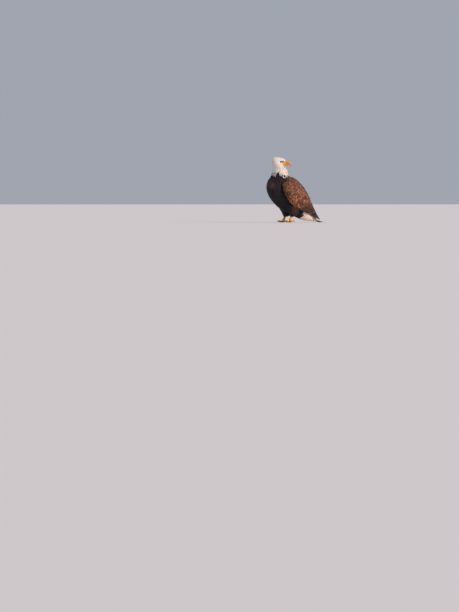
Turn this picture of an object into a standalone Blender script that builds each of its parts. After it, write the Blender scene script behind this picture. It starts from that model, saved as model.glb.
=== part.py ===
"""An adult bald eagle at life size, standing with its wings folded.

Its head is turned back over its left shoulder. Metres, +Z up. The breast faces -Y and the bird's left side
is +X. The soles and the tip of the tail are at Z 0. Head, neck, trunk and tail coverts are one turned and
tapered body, parted with thin cuts. Wings and tail are curved slabs let into that body, and the legs stand
under it.
"""

import math
from typing import NamedTuple

import bmesh
import bpy
import numpy as np
from mathutils import Matrix, Vector

# ---------------------------------------------------------------- driving sizes

NECK_AXIS_Y = -0.090  # the upright line that the head turns about
HEAD_TURN = math.radians(150)  # to the bird's left, from straight ahead
GAP = 0.0004  # clear space between neighbouring pieces
CORNER_ALLOWANCE = 1.4  # a grown copy moves its corners further than its flats

EYE_RADIUS = 0.0125
EYE_FORE, EYE_UP, EYE_SIDE = 0.0165, 0.5585, 0.0245

LEG_SIDE = 0.062  # of each foot from the middle
FOOT_Y, CUFF_Y = -0.012, 0.008  # the shank leans back from its foot
ANKLE_UP = 0.026  # where the tarsus meets the toes
CUFF_UP = 0.058  # lower end of the leg feathers
FOOT_TURN = 25  # degrees that both feet point to the bird's left
PLACE_Y = -0.090  # moves the middle of the bird's box to the origin

BODY_SEGMENTS = 24
BODY_ROWS = 40


class Station(NamedTuple):
    """A cross-section: its top and under points in the side view, and half its width.

    A point in the side view is its distance fore of the neck axis and its height.
    """

    top: tuple
    under: tuple
    half_width: float
    turn: float = 0.0  # share of HEAD_TURN


BODY = (
    Station((0.0560, 0.5740), (0.0330, 0.5330), 0.0130, 1.0),  # bill root
    Station((0.0490, 0.5850), (0.0350, 0.5240), 0.0215, 1.0),  # lores
    Station((0.0300, 0.5970), (0.0380, 0.5185), 0.0305, 1.0),  # brow
    Station((0.0030, 0.6050), (0.0430, 0.5145), 0.0365, 1.0),  # crown
    Station((-0.0340, 0.6090), (0.0490, 0.5110), 0.0420, 1.0),
    Station((-0.0660, 0.5970), (0.0555, 0.5065), 0.0475, 1.0),  # hind crown
    Station((-0.0740, 0.5660), (0.0620, 0.5005), 0.0535, 1.0),  # nape
    Station((-0.0755, 0.5320), (0.0700, 0.4920), 0.0590, 0.95),
    Station((-0.0770, 0.4980), (0.0765, 0.4785), 0.0655, 0.80),
    Station((-0.0770, 0.4700), (0.0780, 0.4600), 0.0730, 0.45),
    Station((-0.0790, 0.4480), (0.0790, 0.4440), 0.0790, 0.12),
    Station((-0.1120, 0.4230), (0.0900, 0.4220), 0.0920, 0.0),  # neck base
    Station((-0.1740, 0.3890), (0.1160, 0.3870), 0.1070, 0.0),  # shoulders
    Station((-0.2240, 0.3370), (0.1320, 0.3350), 0.1150, 0.0),  # breast
    Station((-0.2700, 0.2840), (0.1230, 0.2800), 0.1170, 0.0),
    Station((-0.2980, 0.2360), (0.0980, 0.2300), 0.1140, 0.0),
    Station((-0.3200, 0.1880), (0.0540, 0.1790), 0.1060, 0.0),  # belly
    Station((-0.3340, 0.1490), (-0.0060, 0.1290), 0.0900, 0.0),
    Station((-0.3450, 0.1150), (-0.0900, 0.0880), 0.0720, 0.0),  # vent
    Station((-0.3560, 0.0870), (-0.1750, 0.0480), 0.0560, 0.0),
    Station((-0.3700, 0.0620), (-0.2550, 0.0200), 0.0430, 0.0),  # tail coverts
    Station((-0.3880, 0.0410), (-0.3250, 0.0130), 0.0330, 0.0),
)


def smooth_values(table, at):
    """A Catmull-Rom curve through the rows of table, read at places that count rows from 0."""
    table = np.asarray(table, float)
    at = np.clip(np.asarray(at, float), 0, len(table) - 1)
    start = np.minimum(at.astype(int), len(table) - 2)
    share = (at - start)[..., None]
    padded = np.vstack([2 * table[0] - table[1], table, 2 * table[-1] - table[-2]])
    before, here, there, after = (padded[start + step] for step in range(4))
    return 0.5 * (
        2 * here
        + (there - before) * share
        + (2 * before - 5 * here + 4 * there - after) * share**2
        + (3 * here - before - 3 * there + after) * share**3
    )


def in_side_view(fore, up, side, turn):
    """World points from fore, up and side distances in a side view turned about the neck axis."""
    fore, up, side, angle = np.broadcast_arrays(fore, up, side, np.asarray(turn) * HEAD_TURN)
    return np.stack(
        [
            fore * np.sin(angle) + side * np.cos(angle),
            NECK_AXIS_Y - fore * np.cos(angle) + side * np.sin(angle),
            up,
        ],
        axis=-1,
    )


def rings(stations, rows, segments, top_square=1.0, under_square=1.0):
    """A grid of points, rows by segments, round the stations.

    Each ring is an ellipse between the station's top and under points, and its top or under half is squarer
    where that power is less than 1. Where the head's turn carries a ring round, its points are counted from
    the same side of the body, so that the rows run straight down the neck.
    """
    table = [[*s.top, *s.under, s.half_width, s.turn] for s in stations]
    top_fore, top_up, under_fore, under_up, width, turn = smooth_values(
        table, np.linspace(0, len(stations) - 1, rows)
    ).T[:, :, None]
    around = np.arange(segments) * 2 * math.pi / segments + turn * HEAD_TURN
    drop = (1 - np.cos(around)) / 2
    fore = top_fore + (under_fore - top_fore) * drop
    up = top_up + (under_up - top_up) * drop
    power = np.where(drop > 0.5, under_square, top_square)
    sideways = np.sign(np.sin(around)) * np.abs(np.sin(around)) ** power
    return in_side_view(fore, up, width * sideways, turn)


def push(points, centre, reach, by):
    """Points near centre moved by the vector by, fading with distance over reach, all in head distances."""
    fore_up_side = head_distances(points)
    far = (((fore_up_side - np.asarray(centre)) / np.asarray(reach)) ** 2).sum(axis=-1)
    moved = fore_up_side + np.exp(-far)[..., None] * np.asarray(by)
    return in_side_view(moved[..., 0], moved[..., 1], moved[..., 2], 1.0)


def head_distances(points):
    """Fore, up and side distances of world points in the head's own side view."""
    x, y = points[..., 0], points[..., 1] - NECK_AXIS_Y
    sine, cosine = math.sin(HEAD_TURN), math.cos(HEAD_TURN)
    return np.stack([x * sine - y * cosine, points[..., 2], x * cosine + y * sine], axis=-1)


# ---------------------------------------------------------------- making objects


def material(name, colour, roughness):
    """A plain Principled material."""
    made = bpy.data.materials.new(name)
    made.use_nodes = True
    shader = made.node_tree.nodes["Principled BSDF"]
    shader.inputs["Base Color"].default_value = (*colour, 1.0)
    shader.inputs["Roughness"].default_value = roughness
    shader.inputs["Metallic"].default_value = 0.0
    return made


def add_object(name, mesh, finish=None):
    """An object of this mesh in the scene, shaded smooth."""
    mesh.shade_smooth()
    made = bpy.data.objects.new(name, mesh)
    bpy.context.scene.collection.objects.link(made)
    if finish:
        mesh.materials.append(finish)
    return made


def closed_tube(name, grid, finish=None):
    """A closed solid from rings of points, with a face over each end."""
    rows, segments = grid.shape[:2]
    mesh = bmesh.new()
    loops = [[mesh.verts.new(p) for p in ring] for ring in grid]
    for one, other in zip(loops, loops[1:]):
        for i in range(segments):
            j = (i + 1) % segments
            mesh.faces.new((one[i], one[j], other[j], other[i]))
    for loop in (loops[0], loops[-1]):
        middle = mesh.verts.new(sum((v.co for v in loop), Vector()) / segments)
        for i in range(segments):
            mesh.faces.new((loop[i], loop[(i + 1) % segments], middle))
    return finished(name, mesh, finish)


def closed_slab(name, outer, inner, finish=None):
    """A closed solid between two grids of points of one size."""
    rows, columns = outer.shape[:2]
    mesh = bmesh.new()
    sides = [[[mesh.verts.new(p) for p in row] for row in grid] for grid in (outer, inner)]
    for grid in sides:
        for i in range(rows - 1):
            for j in range(columns - 1):
                mesh.faces.new((grid[i][j], grid[i][j + 1], grid[i + 1][j + 1], grid[i + 1][j]))
    rim = [(0, j) for j in range(columns)]
    rim += [(i, columns - 1) for i in range(1, rows)]
    rim += [(rows - 1, j) for j in range(columns - 2, -1, -1)]
    rim += [(i, 0) for i in range(rows - 2, 0, -1)]
    for (a, b), (c, d) in zip(rim, rim[1:] + rim[:1]):
        mesh.faces.new((sides[0][a][b], sides[0][c][d], sides[1][c][d], sides[1][a][b]))
    return finished(name, mesh, finish)


def finished(name, mesh, finish):
    """The bmesh as an object, with its faces turned outwards."""
    bmesh.ops.recalc_face_normals(mesh, faces=mesh.faces)
    data = bpy.data.meshes.new(name)
    mesh.to_mesh(data)
    mesh.free()
    return add_object(name, data, finish)


def evaluated_mesh(source):
    """A copy of an object's mesh with its modifiers applied."""
    bpy.context.view_layer.update()
    graph = bpy.context.evaluated_depsgraph_get()
    return bpy.data.meshes.new_from_object(source.evaluated_get(graph))


def part_by_planes(name, source, planes, finish):
    """The piece of source on the inner side of each plane, closed with flat faces.

    A plane is a point and an outward normal.
    """
    mesh = bmesh.new()
    whole = evaluated_mesh(source)
    mesh.from_mesh(whole)
    bpy.data.meshes.remove(whole)
    for point, normal in planes:
        cut = bmesh.ops.bisect_plane(
            mesh,
            geom=[*mesh.verts, *mesh.edges, *mesh.faces],
            plane_co=Vector(point) - Vector(normal).normalized() * GAP / 2,
            plane_no=normal,
            clear_outer=True,
        )
        edge = [e for e in cut["geom_cut"] if isinstance(e, bmesh.types.BMEdge)]
        bmesh.ops.triangle_fill(mesh, use_beauty=True, edges=edge)
    bmesh.ops.recalc_face_normals(mesh, faces=mesh.faces)
    data = bpy.data.meshes.new(name)
    mesh.to_mesh(data)
    mesh.free()
    return add_object(name, data, finish)


def grown(source, by=GAP):
    """A hidden copy of a solid, larger by a gap all round, to cut its neighbours with."""
    data = evaluated_mesh(source)
    mesh = bmesh.new()
    mesh.from_mesh(data)
    mesh.normal_update()
    for vertex, normal in [(v, v.normal.copy()) for v in mesh.verts]:
        vertex.co += normal * by * CORNER_ALLOWANCE
    mesh.to_mesh(data)
    mesh.free()
    cutter = add_object(source.name + "_cutter", data)
    cutter.hide_render = True
    cutter.display_type = "WIRE"
    return cutter


def combine(target, other, operation):
    """A Boolean of other on target."""
    step = target.modifiers.new(f"{operation.lower()} {other.name}", "BOOLEAN")
    step.operation = operation
    step.solver = "EXACT"
    step.object = other


def hide(helper):
    """Leaves a helper out of the model."""
    helper.hide_render = True
    helper.display_type = "WIRE"
    return helper


# ---------------------------------------------------------------- bill and eyes

MOUTH_UP = 0.5385  # closed line between the two halves of the bill
MOUTH_GAP = 0.0004

UPPER_BILL = (
    Station((0.0300, 0.5660), (0.0220, MOUTH_UP + MOUTH_GAP), 0.0150),  # cere, let into the face
    Station((0.0440, 0.5695), (0.0400, MOUTH_UP + MOUTH_GAP), 0.0150),
    Station((0.0570, 0.5712), (0.0560, MOUTH_UP + MOUTH_GAP), 0.0138),
    Station((0.0700, 0.5708), (0.0700, MOUTH_UP + MOUTH_GAP), 0.0126),
    Station((0.0830, 0.5674), (0.0815, MOUTH_UP + MOUTH_GAP), 0.0110),
    Station((0.0950, 0.5600), (0.0895, MOUTH_UP + MOUTH_GAP), 0.0092),
    Station((0.1030, 0.5490), (0.0935, 0.5380), 0.0072),
    Station((0.1060, 0.5370), (0.0962, 0.5322), 0.0048),  # hook
    Station((0.1045, 0.5280), (0.0990, 0.5260), 0.0027),
    Station((0.1020, 0.5215), (0.1005, 0.5212), 0.0008),
)
LOWER_BILL = (
    Station((0.0220, MOUTH_UP), (0.0260, 0.5255), 0.0130),
    Station((0.0420, MOUTH_UP), (0.0430, 0.5265), 0.0126),
    Station((0.0600, MOUTH_UP), (0.0600, 0.5287), 0.0110),
    Station((0.0760, MOUTH_UP), (0.0750, 0.5312), 0.0086),
    Station((0.0890, 0.5378), (0.0870, 0.5340), 0.0050),
)
UPPER_ROWS, LOWER_ROWS = 15, 8
BILL_SEGMENTS = 12
BILL_SQUARE = 0.4


def build_bill(finish):
    """The hooked upper half, with its cere, and the lower half, each flat where they meet."""
    upper = [s._replace(turn=1.0) for s in UPPER_BILL]
    lower = [s._replace(turn=1.0) for s in LOWER_BILL]
    return [
        closed_tube("bill_upper", rings(upper, UPPER_ROWS, BILL_SEGMENTS, under_square=BILL_SQUARE), finish),
        closed_tube("bill_lower", rings(lower, LOWER_ROWS, BILL_SEGMENTS, top_square=BILL_SQUARE), finish),
    ]


def build_eye(name, side, finish):
    """An eyeball, sunk in the head below the brow."""
    mesh = bmesh.new()
    centre = Matrix.Translation(in_side_view(EYE_FORE, EYE_UP, side * EYE_SIDE, 1.0))
    bmesh.ops.create_icosphere(mesh, subdivisions=2, radius=EYE_RADIUS, matrix=centre)
    return finished(name, mesh, finish)


# ---------------------------------------------------------------- body


class FaceForm(NamedTuple):
    """A swell or hollow on the left of the face, in head distances: its place, its reach and its move."""

    centre: np.ndarray
    reach: tuple
    by: np.ndarray


FACE_FORMS = (
    FaceForm(  # hollow round the eye
        np.array((EYE_FORE + 0.006, EYE_UP, 0.035)), (0.020, 0.011, 0.020), np.array((0, 0, -0.0045))
    ),
    FaceForm(  # brow ridge
        np.array((0.020, 0.574, 0.034)), (0.026, 0.007, 0.020), np.array((0.002, -0.001, 0.0030))
    ),
    FaceForm(  # cheek
        np.array((0.000, 0.532, 0.042)), (0.026, 0.020, 0.020), np.array((0, 0, 0.003))
    ),
)
FACE_FROM_UP, FACE_FADE = 0.47, 0.03  # the forms fade in over this height


def face_modelled(grid):
    """The body's points with a brow ridge, a hollow round each eye and full cheeks."""
    on_head = np.clip((grid[..., 2] - FACE_FROM_UP) / FACE_FADE, 0, 1)[..., None]
    shaped = grid
    for form in FACE_FORMS:
        for side in (-1, 1):
            mirror = np.array((1, 1, side))
            shaped = push(shaped, form.centre * mirror, form.reach, form.by * mirror)
    return grid + (shaped - grid) * on_head


def build_body():
    """Head, neck, trunk and tail coverts in one hidden solid."""
    grid = face_modelled(rings(BODY, BODY_ROWS, BODY_SEGMENTS))
    return hide(closed_tube("body_whole", grid))


def side_plane(fore, up, normal_fore, normal_up, turn):
    """A cut plane across the body, square to the side view at this turn: a point and a normal."""
    point = in_side_view(fore, up, 0.0, turn)
    tip = in_side_view(fore + normal_fore, up + normal_up, 0.0, turn)
    return Vector(point), Vector(tip - point)


HEAD_CUT = side_plane(0.000, 0.506, 0.10, 0.995, 1.0)
NECK_CUT = side_plane(0.0, 0.432, 0.0, 1.0, 0.0)
VENT_CUT = side_plane(-0.242, 0.066, -0.75, -0.66, 0.0)


def facing(plane, way):
    """The plane with its outward normal along way, 1 or -1."""
    return plane[0], plane[1] * way


# ---------------------------------------------------------------- wings


class WingStation(NamedTuple):
    """A cross-section of the left wing: its edges by the spine and on the flank, and how far it bows out."""

    upper: tuple
    lower: tuple
    bow: float


WING = (
    WingStation((0.068, -0.060, 0.421), (0.096, -0.106, 0.390), 0.010),
    WingStation((0.052, 0.012, 0.423), (0.113, -0.124, 0.346), 0.033),
    WingStation((0.036, 0.086, 0.388), (0.126, -0.112, 0.290), 0.046),
    WingStation((0.024, 0.144, 0.338), (0.132, -0.070, 0.222), 0.056),
    WingStation((0.016, 0.190, 0.282), (0.123, -0.008, 0.160), 0.058),
    WingStation((0.012, 0.224, 0.226), (0.105, 0.070, 0.114), 0.049),
    WingStation((0.010, 0.253, 0.170), (0.083, 0.145, 0.092), 0.037),
    WingStation((0.010, 0.280, 0.118), (0.067, 0.210, 0.074), 0.022),
    WingStation((0.016, 0.303, 0.072), (0.054, 0.270, 0.048), 0.009),
    WingStation((0.030, 0.322, 0.034), (0.042, 0.316, 0.026), 0.002),
)
WING_ROWS, WING_COLUMNS = 17, 9
WING_THICK, WING_EDGE = 0.016, 0.003
WING_FULLNESS = 0.85  # power of the bow across the wing: less than 1 is fuller by the edges
WING_CUT_NORMAL = Vector((0, 0.62, -0.78))
COVERTS_END, SECONDARIES_END = Vector((0, 0.030, 0.262)), Vector((0, 0.212, 0.118))


def wing_grids():
    """The outer and inner points of the left wing."""
    along = np.linspace(0, len(WING) - 1, WING_ROWS)
    across = np.linspace(0, 1, WING_COLUMNS)[:, None]
    upper = smooth_values([s.upper for s in WING], along)[:, None]
    lower = smooth_values([s.lower for s in WING], along)[:, None]
    bow = smooth_values([[s.bow] for s in WING], along)[:, None]
    chord = lower - upper
    run = np.gradient((upper + lower) / 2, axis=0)
    out = np.cross(chord, run)
    out /= np.linalg.norm(out, axis=-1, keepdims=True)
    surface = upper + chord * across + out * bow * np.sin(math.pi * across) ** WING_FULLNESS
    tangent_along = np.gradient(surface, axis=0)
    tangent_across = np.gradient(surface, axis=1)
    normal = np.cross(tangent_across, tangent_along)
    normal /= np.linalg.norm(normal, axis=-1, keepdims=True)
    end = np.minimum(1, np.minimum(along, len(WING) - 1 - along) / 2)[:, None, None]
    inside = WING_EDGE + (WING_THICK - WING_EDGE) * np.sin(math.pi * across) * end
    return surface, surface - normal * inside


def build_wing(side_name, side, finishes):
    """A folded wing in three lengths: coverts, secondaries and primaries."""
    outer, inner = (grid * (side, 1, 1) for grid in wing_grids())
    whole = hide(closed_slab(f"wing_whole_{side_name}", outer, inner))
    cuts = [(COVERTS_END, WING_CUT_NORMAL), (SECONDARIES_END, WING_CUT_NORMAL)]
    part_by_planes(f"wing_coverts_{side_name}", whole, [cuts[0]], finishes["brown"])
    part_by_planes(f"secondaries_{side_name}", whole, [facing(cuts[0], -1), cuts[1]], finishes["brown"])
    part_by_planes(f"primaries_{side_name}", whole, [facing(cuts[1], -1)], finishes["dark"])
    return whole


# ---------------------------------------------------------------- tail

TAIL_LENGTH = 0.262
TAIL_ROOT_Y = 0.170
TAIL_SLOPE = math.radians(48)  # at the root, easing to level at the tip
TAIL_ROOT_HALF, TAIL_TIP_HALF = 0.024, 0.060
TAIL_ROOT_THICK, TAIL_TIP_THICK = 0.012, 0.004
TAIL_SINK = 0.0008  # taken off the tip's underside, so that it lies flat
TAIL_FEATHERS = 12
TAIL_ROWS = 7
TAIL_FAN = 0.8  # power of the widening along its length: less than 1 opens early
TAIL_ARCH = 0.007  # height of its crown at the root
TAIL_FLATTENING = 0.8  # share of that lost by the tip
TAIL_ROUNDING = 0.05  # share of the length that the outer feathers fall short
TAIL_NOTCH = 0.018  # depth of the notch between two feather tips, in its length


def tail_grids():
    """The top and under points of the closed tail, sloping at the root and level on the floor at the tip.

    Its slope falls evenly along it, so its middle line is an arc of a circle.
    """
    across = np.linspace(-1, 1, 2 * TAIL_FEATHERS + 1)
    notches = np.cos(across * TAIL_FEATHERS * math.pi / 2) ** 2
    rounding = 1 - TAIL_ROUNDING * across**2 - TAIL_NOTCH * notches
    along = np.linspace(0, 1, TAIL_ROWS)[:, None] * rounding
    radius = TAIL_LENGTH / TAIL_SLOPE
    slope = TAIL_SLOPE * (1 - along)
    y = TAIL_ROOT_Y + radius * (math.sin(TAIL_SLOPE) - np.sin(slope))
    up = TAIL_TIP_THICK / 2 - TAIL_SINK + radius * (1 - np.cos(slope))
    half = TAIL_ROOT_HALF + (TAIL_TIP_HALF - TAIL_ROOT_HALF) * along**TAIL_FAN
    thick = TAIL_ROOT_THICK + (TAIL_TIP_THICK - TAIL_ROOT_THICK) * along
    arch = TAIL_ARCH * (1 - across**2) * (1 - TAIL_FLATTENING * along)
    top = np.stack([half * across, y, up + arch + thick / 2], axis=-1)
    under = np.stack([half * across, y, np.maximum(up + arch - thick / 2, 0)], axis=-1)
    return top, under


# ---------------------------------------------------------------- legs

CUFF_LAP = 0.002  # how far the last feathers hang below the cuff
THIGH = (
    # up, middle y, half length fore and aft, half width, middle x
    (0.200, 0.008, 0.052, 0.036, 0.064),
    (0.165, 0.008, 0.064, 0.046, 0.068),
    (0.130, 0.014, 0.062, 0.048, 0.069),
    (0.100, 0.024, 0.054, 0.044, 0.067),
    (0.076, 0.025, 0.044, 0.037, 0.064),
    (CUFF_UP + 0.004, 0.019, 0.031, 0.029, LEG_SIDE),
    (CUFF_UP - CUFF_LAP, CUFF_Y + 0.003, 0.022, 0.020, LEG_SIDE),
)
LEG_SEGMENTS = 16
THIGH_ROWS = 10


def build_thigh(name, side, finish):
    """The feathered upper leg, like a trouser."""
    up, y, half_y, half_x, x = smooth_values(THIGH, np.linspace(0, len(THIGH) - 1, THIGH_ROWS)).T[:, :, None]
    around = np.arange(LEG_SEGMENTS) * 2 * math.pi / LEG_SEGMENTS
    grid = np.stack(
        [
            side * (x + half_x * np.sin(around)),
            y + half_y * np.cos(around),
            up + 0.0 * around,
        ],
        axis=-1,
    )
    return closed_tube(name, grid, finish)


def swept(path, radii, segments):
    """Rings of points round a path of points, square to it, with a side of each ring level below."""
    path = np.asarray(path, float)
    ahead = np.gradient(path, axis=0)
    ahead /= np.linalg.norm(ahead, axis=1, keepdims=True)
    side = np.cross(ahead, (0, 0, 1))
    level = np.linalg.norm(side, axis=1, keepdims=True)
    fallback = np.cross(ahead, (0, 1, 0))
    side = np.where(level > 1e-3, side, fallback)
    side /= np.linalg.norm(side, axis=1, keepdims=True)
    rise = np.cross(side, ahead)
    around = ((np.arange(segments) + 0.5) * 2 * math.pi / segments)[:, None]
    radii = np.asarray(radii)[:, None, None]
    return path[:, None] + (side[:, None] * np.sin(around) + rise[:, None] * np.cos(around)) * radii


TARSUS_RADIUS, ANKLE_RADIUS = 0.0094, 0.0114
TARSUS_DEEP = 1.15  # fore and aft, in its width
TARSUS_ROWS, TARSUS_SEGMENTS = 4, 12


def build_tarsus(name, side, finish):
    """The bare shank from the cuff of feathers down to the toes."""
    share = np.linspace(0, 1, TARSUS_ROWS)
    top = CUFF_UP - CUFF_LAP - GAP
    up = top + (ANKLE_UP + GAP - top) * share
    path = np.stack([0 * up + side * LEG_SIDE, CUFF_Y + (FOOT_Y - CUFF_Y) * share, up], axis=1)
    radii = TARSUS_RADIUS + (ANKLE_RADIUS - TARSUS_RADIUS) * share**2
    around = (np.arange(TARSUS_SEGMENTS) * 2 * math.pi / TARSUS_SEGMENTS)[:, None]
    grid = path[:, None] + radii[:, None, None] * np.concatenate(
        [np.sin(around), TARSUS_DEEP * np.cos(around), 0 * around], axis=1
    )
    return closed_tube(name, grid, finish)



class Toe(NamedTuple):
    """A toe: the way it points, in degrees outwards from straight ahead, its length, and its claw's arc."""

    name: str
    outwards: float
    length: float
    claw_length: float
    claw_radius: float


TOES = (
    Toe("inner", -32, 0.046, 0.036, 0.0225),
    Toe("middle", 4, 0.062, 0.031, 0.0195),
    Toe("outer", 42, 0.048, 0.026, 0.0165),
    Toe("hind", 172, 0.034, 0.039, 0.0245),
)
TOE_RADIUS, TOE_END_RADIUS = 0.0102, 0.0068
TOE_START = 0.002  # of a toe's first ring from the middle of the foot, a little further for each next toe
SOLE_SHARE = 0.72  # height of a toe's middle line above the floor, in its radius
CLAW_ROOT_RADIUS, CLAW_TIP_RADIUS = 0.0046, 0.0005
CLAW_ROOT_UP = 0.0125
CLAW_CLEAR = 0.0022  # from the end of the toe's rings, past their rounding
CLAW_ABOVE_FLOOR = 0.0002
CLAW_RISE = math.radians(22)
TOE_PADS, PAD_SWELL = 3, 0.07
TOE_ROWS, TOE_SEGMENTS = 8, 8
KNUCKLE_RADII = (ANKLE_RADIUS, 0.0128, 0.0134, 0.0128, 0.0104)  # from the shank down
KNUCKLE_FROM_UP = 0.006
CLAW_ROWS, CLAW_SEGMENTS = 7, 6


def toe_way(toe, side):
    """The level direction of a toe."""
    angle = math.radians(side * toe.outwards + FOOT_TURN)
    return np.array([math.sin(angle), -math.cos(angle), 0.0])


def toe_grid(toe, side):
    """Rings of a toe, padded below, that reach under Z 0 to be cut flat there and lift to the claw."""
    share = np.linspace(0, 1, TOE_ROWS)
    radii = TOE_RADIUS + (TOE_END_RADIUS - TOE_RADIUS) * share
    radii = radii * (1 + PAD_SWELL * np.cos((2 * TOE_PADS * share + 1) * math.pi))
    start = TOE_START * (1 + TOES.index(toe) / len(TOES))
    path = np.array([side * LEG_SIDE, FOOT_Y, 0.0]) + toe_way(toe, side) * (
        start + (toe.length - start) * share[:, None]
    )
    path[:, 2] = SOLE_SHARE * radii + (CLAW_ROOT_UP - SOLE_SHARE * TOE_END_RADIUS) * share**3
    return swept(path, radii, TOE_SEGMENTS)


def claw_grid(toe, side):
    """Rings of a claw: an arc from the toe's end up and over, to a point just above the floor."""
    share = np.linspace(0, 1, CLAW_ROWS)
    angle = CLAW_RISE - share * toe.claw_length / toe.claw_radius
    ahead = toe.claw_radius * (math.sin(CLAW_RISE) - np.sin(angle))
    rise = toe.claw_radius * (np.cos(angle) - math.cos(CLAW_RISE))
    root = np.array([side * LEG_SIDE, FOOT_Y, 0.0]) + toe_way(toe, side) * (toe.length + CLAW_CLEAR)
    path = root + toe_way(toe, side) * ahead[:, None]
    lowest = CLAW_TIP_RADIUS + CLAW_ABOVE_FLOOR
    path[:, 2] = np.maximum(CLAW_ROOT_UP + rise, lowest)
    radii = CLAW_ROOT_RADIUS + (CLAW_TIP_RADIUS - CLAW_ROOT_RADIUS) * share**0.8
    return swept(path, radii, CLAW_SEGMENTS)


def build_foot(side_name, side, finishes):
    """Four toes joined at the ankle's knuckle and cut flat at the floor, and a claw at the end of each."""
    knuckle_up = np.linspace(ANKLE_UP - GAP, KNUCKLE_FROM_UP, len(KNUCKLE_RADII))
    around = (np.arange(TARSUS_SEGMENTS) * 2 * math.pi / TARSUS_SEGMENTS)[:, None]
    widths = np.array(KNUCKLE_RADII)[:, None, None]
    centres = np.array([side * LEG_SIDE, FOOT_Y, 0.0]) + knuckle_up[:, None] * (0, 0, 1)
    grid = centres[:, None] + widths * np.concatenate([np.sin(around), np.cos(around), 0 * around], axis=1)
    whole = hide(closed_tube(f"foot_whole_{side_name}", grid))
    for toe in TOES:
        helper = hide(closed_tube(f"toe_{toe.name}_{side_name}_form", toe_grid(toe, side)))
        combine(whole, helper, "UNION")
        closed_tube(f"claw_{toe.name}_{side_name}", claw_grid(toe, side), finishes["claw"])
    floor = (Vector((0, 0, -GAP / 2)), Vector((0, 0, -1)))
    return part_by_planes(f"foot_{side_name}", whole, [floor], finishes["leg"])


# ---------------------------------------------------------------- the whole bird


def finishes_of_bird():
    """The bird's plain materials by name."""
    return {
        "white": material("white_feathers", (0.86, 0.82, 0.76), 0.75),
        "brown": material("brown_feathers", (0.105, 0.055, 0.032), 0.7),
        "dark": material("dark_feathers", (0.035, 0.024, 0.020), 0.65),
        "leg": material("yellow_scales", (0.86, 0.55, 0.06), 0.5),
        "bill": material("yellow_horn", (0.88, 0.50, 0.05), 0.35),
        "claw": material("black_horn", (0.02, 0.018, 0.016), 0.3),
        "eye": material("pale_eye", (0.80, 0.68, 0.30), 0.08),
    }


def build():
    """Clears the scene and makes every piece of the bird."""
    for old in list(bpy.data.objects):
        bpy.data.objects.remove(old)
    finishes = finishes_of_bird()
    body = build_body()
    head = part_by_planes("head", body, [facing(HEAD_CUT, -1)], finishes["white"])
    neck = part_by_planes("neck", body, [HEAD_CUT, facing(NECK_CUT, -1)], finishes["white"])
    trunk = part_by_planes("trunk", body, [NECK_CUT, VENT_CUT], finishes["dark"])
    coverts = part_by_planes("tail_coverts", body, [facing(VENT_CUT, -1)], finishes["white"])

    bill = build_bill(finishes["bill"])
    eyes = [build_eye("eye_left", 1, finishes["eye"]), build_eye("eye_right", -1, finishes["eye"])]
    for piece in bill + eyes:
        combine(head, grown(piece), "DIFFERENCE")

    top, under = tail_grids()
    tail = closed_slab("tail", top, under, finishes["white"])
    tail_cutter = grown(tail)
    combine(coverts, tail_cutter, "DIFFERENCE")
    combine(trunk, tail_cutter, "DIFFERENCE")

    for side_name, side in (("left", 1), ("right", -1)):
        whole_wing = build_wing(side_name, side, finishes)
        wing_cutter = grown(whole_wing)
        combine(trunk, wing_cutter, "DIFFERENCE")
        combine(coverts, wing_cutter, "DIFFERENCE")
        combine(neck, wing_cutter, "DIFFERENCE")
        thigh = build_thigh(f"thigh_{side_name}", side, finishes["dark"])
        combine(thigh, grown(body), "DIFFERENCE")
        combine(thigh, wing_cutter, "DIFFERENCE")
        build_tarsus(f"tarsus_{side_name}", side, finishes["leg"])
        build_foot(side_name, side, finishes)
    place_on_origin()


def place_on_origin():
    """Hangs every piece on one empty that brings the middle of the bird's box to the origin."""
    pieces = list(bpy.context.scene.objects)
    stand = bpy.data.objects.new("bird", None)
    bpy.context.scene.collection.objects.link(stand)
    stand.location = (0, PLACE_Y, 0)
    for piece in pieces:
        piece.parent = stand


build()
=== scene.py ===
"""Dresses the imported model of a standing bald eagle: skin, feathers, scales, horn and eyes.

Everything is in metres in the row frame: +Z is up, the breast faces -Y and the bird's left side is +X. The
outer forms of body, wings, thighs, tail, bill and toes are the same formulas as in the model's source, so the
skin lies inside them by the coat's depth and each feather's tip comes up to them.
"""

import logging
import math
from dataclasses import dataclass, field
from enum import Enum
from typing import Iterable, NamedTuple, Optional, Sequence

import bpy
import numpy as np
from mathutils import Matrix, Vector


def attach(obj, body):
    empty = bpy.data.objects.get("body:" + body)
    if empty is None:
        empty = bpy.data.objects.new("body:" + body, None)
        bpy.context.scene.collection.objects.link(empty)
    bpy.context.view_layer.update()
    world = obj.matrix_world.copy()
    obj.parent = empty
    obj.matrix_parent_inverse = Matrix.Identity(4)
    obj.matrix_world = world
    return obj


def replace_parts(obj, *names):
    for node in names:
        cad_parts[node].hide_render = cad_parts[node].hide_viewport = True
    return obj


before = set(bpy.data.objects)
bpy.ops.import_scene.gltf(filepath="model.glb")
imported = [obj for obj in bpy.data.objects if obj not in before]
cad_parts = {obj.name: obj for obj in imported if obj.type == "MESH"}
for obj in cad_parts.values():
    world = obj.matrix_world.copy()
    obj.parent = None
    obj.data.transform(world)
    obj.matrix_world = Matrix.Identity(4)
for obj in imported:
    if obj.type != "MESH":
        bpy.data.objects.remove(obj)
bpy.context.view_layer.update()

LOG = logging.getLogger("eagle")
Array = np.ndarray
Pair = tuple[float, float]
Triple = tuple[float, float, float]
Colour = Triple
Socket = bpy.types.NodeSocket
Material = bpy.types.Material

# ---------------- driving sizes, as in the model's source

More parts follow.
